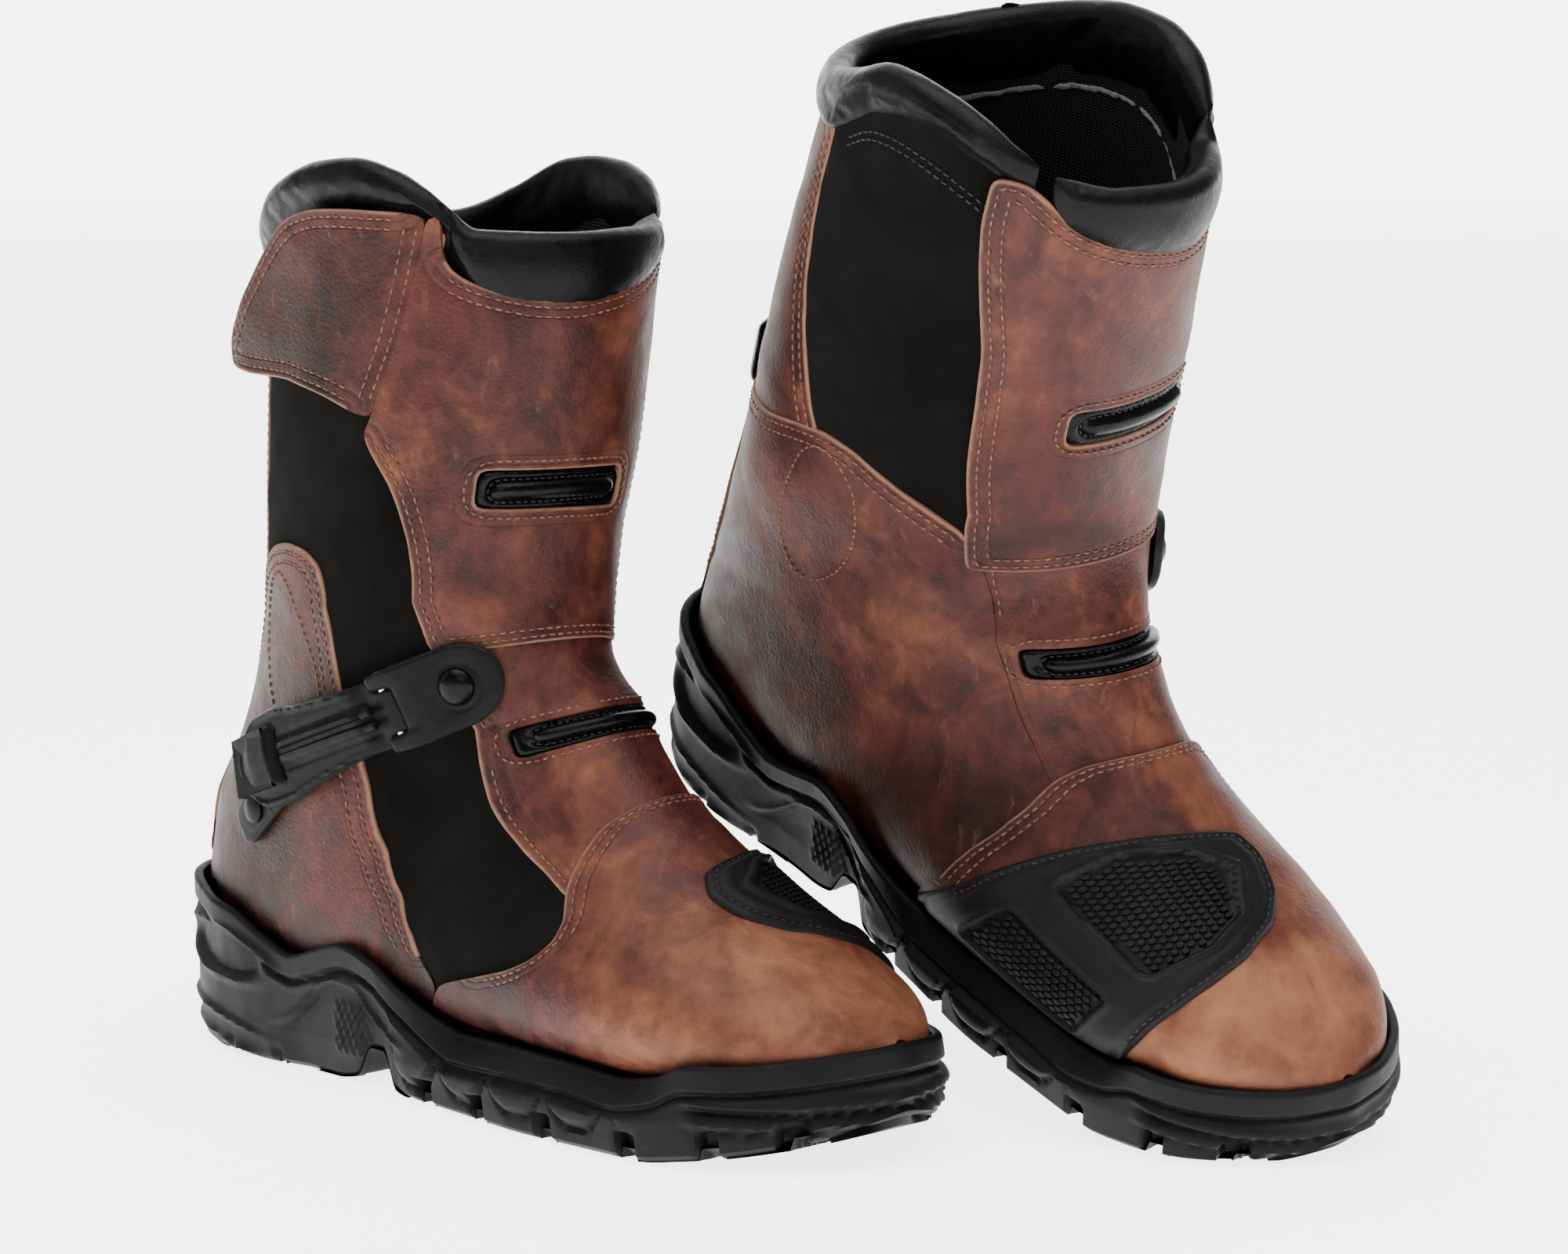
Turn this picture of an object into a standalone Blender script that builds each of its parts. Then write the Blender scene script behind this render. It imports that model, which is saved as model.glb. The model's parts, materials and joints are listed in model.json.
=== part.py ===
"""Pair of leather riding boots: the right boot stands flat, the left boot is its mirror
image and leans toe-down against it.  Metres, +Z up, +X towards the toes.

Every soft layer follows one boot surface surf(t, th), in millimetres:
  t   runs from the top of the shaft (0) down the instep to the tip of the toe (1)
  th  runs round the leg in degrees: 0 front/top, +90 lateral, -90 medial, 180 back/underside
A layer is the space between two offsets of that surface.
"""
import math

import bmesh
import bpy
import numpy as np
from mathutils import Matrix, Vector

# ---- driving dimensions (mm, degrees) ------------------------------------------------------
BOOT_LENGTH = 312.0        # outsole, heel to toe
RIDGE = 0.06               # rounds the ridge along the top of the foot
TWIST = 14.0               # the shaft faces slightly inwards
TOP_TWIST = 21.0           # its section turns back again towards the top
LINING = (-3.4, -1.0)      # layer offsets from the boot surface
STIFFENER = (0.0, 0.6)
LEATHER = (1.8, 3.6)
OVERLAY = 4.2
SOLE_CLEARANCE = 5.8
SEAM = 0.6                 # half of the gap between butted panels
HEM_ANGLE = 136.0          # the leather ends here at the latest, under the foot
HEM_DEPTH = 5.0            # how far the leather goes down inside the sole's rim
LEVER_PIN_S = 35.0         # distance of the hinge pin from the tab's front end
LEVER_PIN_H = 8.8
LEVER_LENGTH = 104.0
FLAP_TOP = (0.047, 45.0)   # ends of the flap's fold line, as (t, th)
FLAP_BOTTOM = (0.170, 59.0)
LEFT_ANGLE = -8.0          # heading of the left boot, degrees
LEFT_PITCH = 20.5          # the left boot's heel is raised
LEFT_ROLL = -8.8           # it leans towards the right boot
LEFT_SHIFT = (82.0, 121.0, -6.68)

# stations down the boot: front rail x z, back rail x z, lateral and medial half width, fullness
STATIONS = np.array([
    (178.5, 286, 54, 290, 46.5, 50, 1.00),
    (175.5, 258, 50, 262, 46.5, 50, 1.00),
    (172.5, 231, 46.5, 233, 47, 51, 1.00),
    (169, 204, 43, 203, 48, 52, 1.00),
    (165.5, 178, 39, 170, 48, 50, 1.00),
    (165.5, 155, 34, 137, 46, 47, 1.00),
    (172, 135, 22, 104, 42, 40, 0.95),
    (185, 120, 9, 70, 41, 38, 0.90),
    (197, 106, 9, 38, 41, 37, 0.85),
    (207, 95, 56, 26, 42, 38, 0.78),
    (218, 86, 108, 24, 44, 41, 0.72),
    (230, 77.5, 156, 22, 47, 44, 0.68),
    (243, 69, 199, 20, 49, 44, 0.66),
    (259, 60.5, 236, 20, 46, 42, 0.66),
    (277, 51, 267, 23, 38, 35, 0.70),
    (291, 41, 289, 27, 23, 21, 0.80),
    (299, 35, 299, 29, 5, 5, 0.90),
], dtype=float)

# outline of the outsole: x, lateral and medial half width
PLAN = np.array([(-4, 1, 1), (4, 20, 19), (12, 29, 28), (30, 38, 36), (55, 42, 38),
                 (85, 43, 37), (120, 46, 40), (160, 51, 46), (200, 56, 51), (240, 56, 51),
                 (272, 49, 45), (290, 37, 34), (302, 21, 19), (308, 1, 1)], dtype=float)
# upper rim and underside of the outsole along x
RIM = [(-4, 56), (10, 55), (24, 51), (46, 45.5), (63, 40.5), (76, 38), (92, 42), (108, 45.5),
       (122, 42.5), (134, 36), (149, 30), (161, 27.5), (190, 27), (235, 27), (251, 29), (264, 32),
       (280, 33), (295, 35), (310, 38)]
TREAD = [(-4, 17), (6, 7), (20, 1), (34, 0), (96, 0), (107, 2), (115, 12.5), (121, 12.5), (128, 1),
         (134, 0), (245, 0), (262, 2), (285, 6), (300, 10), (310, 16)]
# upper edge of the collar: th and t
TOPLINE = [(-180, .043), (-150, .036), (-130, .018), (-112, -.003), (-100, -.006), (-88, -.004),
           (-76, .003), (-62, .016), (-50, .028), (-30, .034), (0, .037), (30, .036), (40, .022),
           (47, .011), (60, -.003), (72, -.008), (88, -.004), (105, .008), (120, .020), (135, .030),
           (150, .037), (180, .043)]

COLOURS = {
    "rubber": ((0.016, 0.016, 0.017), 0.70, 0.0),
    "board": ((0.30, 0.22, 0.14), 0.85, 0.0),
    "steel": ((0.55, 0.55, 0.56), 0.35, 1.0),
    "mesh": ((0.020, 0.019, 0.019), 0.90, 0.0),
    "leather": ((0.185, 0.070, 0.042), 0.60, 0.0),
    "gusset": ((0.012, 0.011, 0.011), 0.85, 0.0),
    "collar": ((0.018, 0.017, 0.018), 0.40, 0.0),
    "insert": ((0.015, 0.015, 0.016), 0.35, 0.0),
    "pad": ((0.022, 0.021, 0.021), 0.55, 0.0),
    "buckle": ((0.020, 0.020, 0.021), 0.50, 0.0),
    "velcro": ((0.018, 0.017, 0.017), 0.95, 0.0),
}


# ---- the boot surface ----------------------------------------------------------------------
def spline(t, column):
    """Catmull-Rom curve through one column of the stations, straight beyond both ends."""
    values = STATIONS[:, column]
    last = len(values) - 1
    s = np.asarray(t, float) * last
    i = np.clip(np.floor(s).astype(int), 0, last - 1)
    f = s - i
    c = np.clip(f, 0, 1)
    p1, p2 = values[i], values[i + 1]
    p0 = np.where(i == 0, 2 * p1 - p2, values[np.clip(i - 1, 0, last)])
    p3 = np.where(i == last - 1, 2 * p2 - p1, values[np.clip(i + 2, 0, last)])
    curve = 0.5 * (2 * p1 + (p2 - p0) * c + (2 * p0 - 5 * p1 + 4 * p2 - p3) * c ** 2
                   + (3 * p1 - p0 - 3 * p2 + p3) * c ** 3)
    return curve + np.where((f < 0) | (f > 1), (p2 - p1) * (f - c), 0)


def surf(t, th):
    """Point of the right boot's surface; y is positive on the medial side."""
    t, th = np.broadcast_arrays(np.asarray(t, float), np.radians(np.asarray(th, float)))
    high = np.radians(TOP_TWIST) * np.clip((0.25 - t) / 0.20, 0, 1)
    th = th + high
    ax, az, bx, bz, lateral, medial, fullness = [spline(t, c) for c in range(7)]
    rise = ((1 - np.cos(th)) / 2 + RIDGE) ** fullness - RIDGE ** fullness
    along = 1 - 2 * rise / ((1 + RIDGE) ** fullness - RIDGE ** fullness)
    sine = np.sin(th)
    side = np.where(sine > 0, lateral, medial) * np.sign(sine) * np.abs(sine) ** 0.88
    half = np.hypot(ax - bx, az - bz) / 2
    turn = np.radians(TWIST) * np.clip((0.42 - t) / 0.12, 0, 1) - high
    p = along * half * np.cos(turn) - side * np.sin(turn)
    q = along * half * np.sin(turn) + side * np.cos(turn)
    return np.stack([(ax + bx) / 2 + p * (ax - bx) / (2 * half), -q,
                     (az + bz) / 2 + p * (az - bz) / (2 * half)], -1)


def normal(t, th):
    t = np.asarray(t, float)
    th = np.asarray(th, float)
    down = surf(t + 1e-3, th) - surf(t - 1e-3, th)
    around = surf(t, th + 0.1) - surf(t, th - 0.1)
    n = np.cross(around, down)
    return n / np.linalg.norm(n, axis=-1, keepdims=True)


def offset(t, th, distance):
    return surf(t, th) + normal(t, th) * np.asarray(distance, float)[..., None]


def rim(x):
    return np.interp(x, *zip(*RIM))


def hem_angle(t, side, depth=HEM_DEPTH):
    """Angle at which the surface passes a depth below the sole's rim."""
    angles = np.linspace(60, 180, 241)
    points = surf(t, side * angles)
    below = points[:, 2] < rim(points[:, 0]) - depth
    return side * min(angles[np.argmax(below)] if below.any() else 180.0, HEM_ANGLE)


def back_hem():
    ts = np.linspace(0.40, 0.52, 241)
    points = surf(ts, 180.0)
    return ts[np.argmax(points[:, 2] < rim(points[:, 0]) - HEM_DEPTH)]


def hem(side, start, end, count=7):
    return [(t, hem_angle(t, side)) for t in np.linspace(start, end, count)]


# ---- mesh builders -------------------------------------------------------------------------
def make_object(name, points, faces, slot, origin=None, smooth=True):
    """Mesh object from millimetre points; origin is the point its joint turns about."""
    pivot = np.asarray(origin if origin is not None else np.mean(points, axis=0), float)
    bm = bmesh.new()
    verts = [bm.verts.new((Vector(p) - Vector(pivot)) * 0.001) for p in points]
    for face in faces:
        bm.faces.new([verts[i] for i in face])
    bmesh.ops.recalc_face_normals(bm, faces=bm.faces)
    bmesh.ops.triangulate(bm, faces=bm.faces)
    mesh = bpy.data.meshes.new(name)
    bm.to_mesh(mesh)
    bm.free()
    if smooth:
        mesh.shade_smooth()
        mesh.set_sharp_from_angle(angle=math.radians(40))
    colour, roughness, metallic = COLOURS[slot]
    material = bpy.data.materials.new(name)
    material.use_nodes = True
    shader = material.node_tree.nodes["Principled BSDF"]
    shader.inputs["Base Color"].default_value = (*colour, 1)
    shader.inputs["Roughness"].default_value = roughness
    shader.inputs["Metallic"].default_value = metallic
    mesh.materials.append(material)
    obj = bpy.data.objects.new(name, mesh)
    bpy.context.collection.objects.link(obj)
    obj.location = Vector(pivot) * 0.001
    return obj


def row_point(row, u):
    """Point at fraction u of a polyline of (t, th) pairs, measured on the boot."""
    pts = np.array(row, float)
    steps = np.hypot(np.diff(pts[:, 0]) * 440, np.diff(pts[:, 1]) * 0.78)
    s = np.concatenate([[0], np.cumsum(steps)])
    return np.array([np.interp(u * s[-1], s, pts[:, k]) for k in (0, 1)])


def patch(rows, v, u):
    i = min(int(v), len(rows) - 2)
    return row_point(rows[i], u) * (1 - v + i) + row_point(rows[i + 1], u) * (v - i)


def subdivide(values, parts):
    return [a + (b - a) * k / n for a, b, n in zip(values, values[1:], parts) for k in range(n)] \
        + [values[-1]]


def shell(name, slot, rows, us, parts, low, high, hole=None, origin=None, inset=SEAM):
    """Closed sheet between two offsets of the patch spanned by the rows of (t, th) points.

    us are the fractions across, parts the number of steps between successive rows, and hole
    is ((v0, v1), (u0, u1)) of a window.  low and high may be functions of (v, u) in 0..1.
    """
    vs = subdivide(list(range(len(rows))), parts)
    grid = np.array([[patch(rows, v, u) for u in us] for v in vs])
    inset_edges(grid, inset)
    vf = np.array(vs) / vs[-1]
    lower = low if callable(low) else (lambda v, u: low)
    upper = high if callable(high) else (lambda v, u: high)
    faces_of = []
    for level in (lower, upper):
        d = np.array([[level(v, u) for u in us] for v in vf], float)
        faces_of.append(offset(grid[..., 0], grid[..., 1], d))
    n, m = grid.shape[:2]
    solid = np.ones((n - 1, m - 1), bool)
    if hole:
        (v0, v1), (u0, u1) = hole
        for i in range(n - 1):
            for j in range(m - 1):
                if v0 <= (vs[i] + vs[i + 1]) / 2 <= v1 and u0 <= (us[j] + us[j + 1]) / 2 <= u1:
                    solid[i, j] = False
    points = np.concatenate([faces_of[0].reshape(-1, 3), faces_of[1].reshape(-1, 3)])
    return make_object(name, *drop_unused(points, sheet_faces(solid, m, n * m)), slot, origin)


def inset_edges(grid, distance):
    """Draw the border of a (t, th) grid in by a distance along the boot."""
    for line, inner in ((grid[0], grid[1]), (grid[-1], grid[-2]),
                        (grid[:, 0], grid[:, 1]), (grid[:, -1], grid[:, -2])):
        step = inner - line
        size = np.linalg.norm(surf(inner[:, 0], inner[:, 1]) - surf(line[:, 0], line[:, 1]), axis=-1)
        line += step * np.minimum(distance / np.maximum(size, 1e-6), 0.4)[:, None]


def sheet_faces(solid, m, layer):
    """Faces of a sheet whose cells are marked solid; the upper layer starts at index layer."""
    faces = []
    n_rows, n_cols = solid.shape
    for i in range(n_rows):
        for j in range(n_cols):
            if not solid[i, j]:
                continue
            a, b, c, d = i * m + j, i * m + j + 1, (i + 1) * m + j + 1, (i + 1) * m + j
            faces += [(a, b, c, d), (d + layer, c + layer, b + layer, a + layer)]
            for (p, q), (ii, jj) in (((a, b), (i - 1, j)), ((b, c), (i, j + 1)),
                                     ((c, d), (i + 1, j)), ((d, a), (i, j - 1))):
                if not (0 <= ii < n_rows and 0 <= jj < n_cols and solid[ii, jj]):
                    faces.append((q, p, p + layer, q + layer))
    return faces


def drop_unused(points, faces):
    used = sorted({i for face in faces for i in face})
    index = {old: new for new, old in enumerate(used)}
    return np.asarray(points)[used], [tuple(index[i] for i in face) for face in faces]


def loft(rings, cap_start=True, cap_end=True):
    """Skin over closed rings of equal length, capped across from one side to the other."""
    count = len(rings[0])
    points = np.concatenate(rings)
    faces = []
    for r in range(len(rings) - 1):
        for k in range(count):
            k2 = (k + 1) % count
            faces.append((r * count + k, r * count + k2, (r + 1) * count + k2, (r + 1) * count + k))
    for base, wanted in ((0, cap_start), ((len(rings) - 1) * count, cap_end)):
        if wanted:
            half = count // 2
            faces.append((base, base + 1, base + count - 1))
            for k in range(1, half - 1):
                faces.append((base + k, base + k + 1, base + count - k - 1, base + count - k))
            faces.append((base + half - 1, base + half, base + half + 1))
    return points, faces


def cells(axes, keep, place):
    """Solid made of the kept boxes of a rectangular grid, mapped by place(s, w, h)."""
    shape = [len(a) - 1 for a in axes]
    solid = np.zeros(shape, bool)
    for i in range(shape[0]):
        for j in range(shape[1]):
            for k in range(shape[2]):
                centre = [(axes[a][n] + axes[a][n + 1]) / 2 for a, n in enumerate((i, j, k))]
                solid[i, j, k] = keep(*centre)
    index, points, faces = {}, [], []

    def vertex(key):
        if key not in index:
            index[key] = len(points)
            points.append(place(*(axes[a][n] for a, n in enumerate(key))))
        return index[key]

    corners = {0: ((0, 0), (1, 0), (1, 1), (0, 1))}
    for cell in zip(*np.nonzero(solid)):
        for axis in range(3):
            for step in (0, 1):
                beside = list(cell)
                beside[axis] += 1 if step else -1
                inside = 0 <= beside[axis] < shape[axis]
                if inside and solid[tuple(beside)]:
                    continue
                face = []
                for p, q in corners[0]:
                    key = list(cell)
                    key[axis] += step
                    key[(axis + 1) % 3] += p
                    key[(axis + 2) % 3] += q
                    face.append(vertex(tuple(key)))
                faces.append(tuple(face if step else reversed(face)))
    return np.array(points), faces


def turned(profile, base, axis, count=12):
    """Solid of revolution: profile is (radius, height) from the bottom centre to the top."""
    axis = np.array(axis, float) / np.linalg.norm(axis)
    side = np.cross(axis, (0, 0, 1) if abs(axis[2]) < 0.9 else (1, 0, 0))
    side /= np.linalg.norm(side)
    other = np.cross(axis, side)
    rings = []
    for radius, height in profile:
        rings.append([base + axis * height + radius * (side * math.cos(a) + other * math.sin(a))
                      for a in np.arange(count) * 2 * math.pi / count])
    points = [p for ring in rings for p in ring]
    faces = [tuple(reversed(range(count)))]
    for r in range(len(rings) - 1):
        for k in range(count):
            k2 = (k + 1) % count
            faces.append((r * count + k, r * count + k2, (r + 1) * count + k2, (r + 1) * count + k))
    faces.append(tuple(range((len(rings) - 1) * count, len(rings) * count)))
    return np.array(points), faces


# ---- sole, insole, lining ------------------------------------------------------------------
def outline(count=48):
    """Points round the sole from the heel along the lateral side to the toe and back."""
    ring = []
    for k in range(count):
        half = count // 2
        side = 1 if k <= half else -1
        f = (k if k <= half else count - k) / half
        x = -4 + BOOT_LENGTH * (1 - math.cos(math.pi * f)) / 2
        width = np.interp(x, PLAN[:, 0], PLAN[:, 1 if side > 0 else 2])
        ring.append((x, -side * width, side))
    return ring


def spine(x):
    return min(max(x, 42.0), 262.0)


def inner_radius(x, y, z, cloud):
    """How far the foot-shaped hollow reaches from the spine towards (x, y) at height z."""
    cx = spine(x)
    direction = np.array([x - cx, y])
    direction = direction / np.linalg.norm(direction)
    spine_x = np.clip(cloud[:, 0], 42.0, 262.0)
    rel = cloud[:, :2] - np.stack([spine_x, np.zeros(len(cloud))], -1)
    radius = np.linalg.norm(rel, axis=1)
    facing = rel @ direction / np.maximum(radius, 1e-6)
    near = (np.abs(cloud[:, 2] - z) < 4) & (np.abs(spine_x - cx) < 8) & (facing > 0.97)
    return radius[near].max() if near.any() else None


def make_outsole(name):
    t, th = np.meshgrid(np.linspace(0.36, 1.0, 130), np.linspace(-180, 180, 181), indexing="ij")
    cloud = offset(t, th, np.full(t.shape, SOLE_CLEARANCE)).reshape(-1, 3)
    floor = {}
    ring = outline()
    hollow = []
    for x, y, side in ring:
        cx = spine(x)
        d = np.array([x - cx, y]) / max(np.hypot(x - cx, y), 1e-6)
        top = float(rim(x))
        outer = math.hypot(x - cx, y)
        column = []
        for f in (1.0, 0.66, 0.33, 0.0):
            z = 17.0 + (top - 17.0) * f
            r = inner_radius(x, y, z, cloud)
            column.append((z, r))
        known = [r for _, r in column if r is not None]
        fill = min(known) if known else outer - 9
        column = [(z, r if r is not None else fill - 4) for z, r in column]
        hollow.append((cx, d, column))
    rings = []
    tread = [float(np.interp(x, *zip(*TREAD))) for x, _, _ in ring]
    notch = [2.6 if k % 3 == 0 else 0.0 for k in range(len(ring))]
    for inset, height in ((5.0, 0.0), (2.0, 2.0), (0.5, 12.0)):
        level = []
        for (x, y, side), z, cut in zip(ring, tread, notch):
            cx = spine(x)
            d = np.array([x - cx, y]) / max(np.hypot(x - cx, y), 1e-6)
            extra = cut if height in (0.0, 2.0) else 0.0
            r = max(math.hypot(x - cx, y) - inset - extra, 2.0)
            level.append((cx + d[0] * r, d[1] * r, z + min(height, 0.8 * (rim(x) - z))))
        rings.append(level)
    rings.append([(cx + d[0] * r, d[1] * r, rim(x) - 3.0) for (x, y, _), (cx, d, column) in
                  zip(ring, hollow) for r in [max(math.hypot(x - cx, y), column[0][1] + 2.4)]])
    outer_lip, inner_lip = [], []
    for (x, y, _), (cx, d, column) in zip(ring, hollow):
        r_out = max(math.hypot(x - cx, y) - 2.4, column[0][1] + 1.6)
        outer_lip.append((cx + d[0] * r_out, d[1] * r_out, rim(x)))
        inner_lip.append((cx + d[0] * column[0][1], d[1] * column[0][1], rim(x) - 0.4))
    rings += [outer_lip, inner_lip]
    for level in (2, 3):
        rings.append([(cx + d[0] * c[level][1], d[1] * c[level][1], c[level][0])
                      for cx, d, c in hollow])
    rings.append([(cx + d[0] * (c[3][1] * 0.8), d[1] * (c[3][1] * 0.8), floor_height(cx + d[0] * 20))
                  for cx, d, c in hollow])
    points, faces = loft(rings)
    return make_object(name, points, faces, "rubber")


def floor_height(x):
    """Top of the outsole under the foot."""
    xs = [(0, 30), (30, 20), (56, 17.5), (108, 16.2), (156, 14.5), (199, 12.8), (236, 12.8),
          (267, 14.5), (300, 18)]
    return float(np.interp(x, *zip(*xs)))


def make_plate(name, slot, start, end, width, low, high, count=20):
    """Thin plate along the sole between the heights low(x) and high(x)."""
    rings = []
    for level, height in ((0, low), (1, high)):
        ring = []
        for k in range(count):
            half = count // 2
            side = 1 if k <= half else -1
            f = (k if k <= half else count - k) / half
            x = start + (end - start) * (1 - math.cos(math.pi * f)) / 2
            y = width(x, side) * math.sin(math.pi * f) ** 0.55
            ring.append((x, -side * max(y, 0.3), height(x)))
        rings.append(ring)
    points, faces = loft(rings)
    return make_object(name, points, faces, slot)


def bottom(x):
    """Height of the boot surface's underside on the centre line."""
    ts = np.linspace(0.5, 0.97, 60)
    return float(np.interp(x, surf(ts, 180.0)[:, 0], surf(ts, 180.0)[:, 2]))


def make_lining(name):
    angles = np.linspace(-180, 180, 18, endpoint=False)
    levels = [0.05, 0.10, 0.16, 0.22, 0.28, 0.335, 0.385, 0.43, 0.47, 0.51, 0.55, 0.60,
              0.66, 0.73, 0.80, 0.87, 0.935]
    top = [np.interp(a, *zip(*TOPLINE)) + 0.004 for a in angles]
    rings = []
    for d in LINING:
        stack = []
        for level in levels:
            row = [level if level > 0.09 else start + (0.10 - start) * level / 0.10
                   for start in top]
            stack.append(offset(np.array(row), angles, np.full(len(row), d)))
        edge = offset(np.array(top), angles, np.full(len(top), d))
        stack.insert(0, edge)
        rings += stack[::-1] if d == LINING[0] else stack
    count = len(angles)
    points = [tuple(p) for ring in rings for p in ring]
    faces = []
    for r in range(len(rings) - 1):
        for k in range(count):
            k2 = (k + 1) % count
            faces.append((r * count + k, r * count + k2, (r + 1) * count + k2, (r + 1) * count + k))
    for ring, start, push in ((rings[0], 0, 2.0), (rings[-1], (len(rings) - 1) * count, 2.6)):
        centre = len(points)
        points.append(tuple(np.mean(ring, axis=0) + np.array((push, 0, -push * 0.6))))
        for k in range(count):
            faces.append((start + k, start + (k + 1) % count, centre))
    return make_object(name, np.array(points), faces, "mesh")


# ---- buckle --------------------------------------------------------------------------------
BUCKLE_PATH = [(0.366, 24), (0.373, 40), (0.390, 70), (0.430, 124), (0.438, 134)]
STRAP_PATH = [(0.398, 86), (0.436, 106), (0.482, 128), (0.50, 136)]


def path_frame(path, s):
    """Point, direction, cross direction and outward normal at distance s along a path."""
    us = np.linspace(0, 1, 80)
    params = np.array([row_point(path, u) for u in us])
    points = surf(params[:, 0], params[:, 1])
    length = np.concatenate([[0], np.cumsum(np.linalg.norm(np.diff(points, axis=0), axis=1))])
    u = np.interp(s, length, us)
    t, th = row_point(path, u)
    point, n = surf(t, th), normal(t, th)
    if s > length[-1]:
        t, th = row_point(path, 0.99)
        point = point + (surf(*row_point(path, 1.0)) - surf(t, th)) * 0
    t2, th2 = row_point(path, min(u + 0.03, 1.0))
    t1, th1 = row_point(path, max(u - 0.03, 0.0))
    d = surf(t2, th2) - surf(t1, th1)
    d -= n * (d @ n)
    d /= np.linalg.norm(d)
    point = point + d * max(0.0, s - length[-1])
    return point, d, np.cross(n, d), n


def on_path(path, s, w, h):
    point, _, cross, n = path_frame(path, s)
    return point + cross * w + n * h


def make_buckle(prefix):
    half = 13.0

    def tab_width(s):
        return half * math.sqrt(max(1 - ((13 - s) / 13.6) ** 2, 0.06)) if s < 13 else half

    def tab_place(s, w, h):
        return on_path(BUCKLE_PATH, s, w * tab_width(s), h)

    def tab_keep(s, w, h):
        if 10 < s < 16 and abs(w) < 0.23:
            return False
        if s < 30:
            return h < 7
        ear = abs(w) > 0.62
        pin = 33.2 < s < 36.8 and 7.0 < h < 10.6
        return ear and not pin

    pivot = on_path(BUCKLE_PATH, 13, 0, 7)
    tab_axis = path_frame(BUCKLE_PATH, 13)[3]
    points, faces = cells(([0, 2.5, 6, 10, 16, 22, 30, 33.2, 36.8, 38.6],
                           [-1, -0.62, -0.23, 0.23, 0.62, 1], [5.0, 7.0, 10.6, 12.0]),
                          tab_keep, tab_place)
    make_object(prefix + "buckle_tab", points, faces, "buckle", pivot)
    make_object(prefix + "tab_rivet",
                *turned([(2.6, 3.9), (2.6, 7.3), (5.6, 7.3), (4.8, 9.0), (2.2, 10.3)],
                        on_path(BUCKLE_PATH, 13, 0, 0), tab_axis, 14), "buckle")
    pin_a = on_path(BUCKLE_PATH, LEVER_PIN_S, -12.6, LEVER_PIN_H)
    pin_b = on_path(BUCKLE_PATH, LEVER_PIN_S, 12.6, LEVER_PIN_H)
    pin_axis = pin_b - pin_a
    make_object(prefix + "hinge_pin",
                *turned([(1.5, 0), (1.5, np.linalg.norm(pin_axis))], pin_a, pin_axis, 12), "steel")

    def lever_place(s, w, h):
        width = half + 2.0 * np.clip((s - 45) / 50, 0, 1) if s > 40 else half
        if s > 95:
            width *= 1 - 0.25 * (s - 95) / (LEVER_LENGTH - 95)
        return on_path(BUCKLE_PATH, s, w * width, h)

    def lever_keep(s, w, h):
        if s < 40.6:
            if abs(w) > 0.55:
                return False
            pin = 33.2 < s < 36.8 and 7.0 < h < 10.6
            return s < 38.3 and not pin or 38.3 < s and h > 7.6
        return h > 7.6

    points, faces = cells(([31.7, 33.2, 36.8, 38.3, 40.6, 49, 60, 71, 83, 95, LEVER_LENGTH],
                           [-1, -0.55, 0.55, 1], [5.5, 7.0, 7.6, 10.6, 12.1]),
                          lever_keep, lever_place)
    make_object(prefix + "buckle_lever", points, faces, "buckle", (pin_a + pin_b) / 2)

    def strap_place(s, w, h):
        return on_path(STRAP_PATH, s, w * 7.5, h)

    def strap_keep(s, w, h):
        return not (41 < s < 46 and abs(w) < 0.34)

    points, faces = cells(([0, 8, 16, 24, 32, 41, 46, 52], [-1, -0.34, 0.34, 1], [4.2, 6.6]),
                          strap_keep, strap_place)
    make_object(prefix + "ladder_strap", points, faces, "buckle")
    make_object(prefix + "anchor_rivet",
                *turned([(2.1, 3.9), (2.1, 6.9), (4.4, 6.9), (4.0, 7.9), (2.4, 8.7)],
                        on_path(STRAP_PATH, 43.5, 0, 0), path_frame(STRAP_PATH, 43.5)[3], 10), "steel")


# ---- one boot ------------------------------------------------------------------------------
def spread(count):
    return list(np.linspace(0, 1, count + 1))


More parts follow.
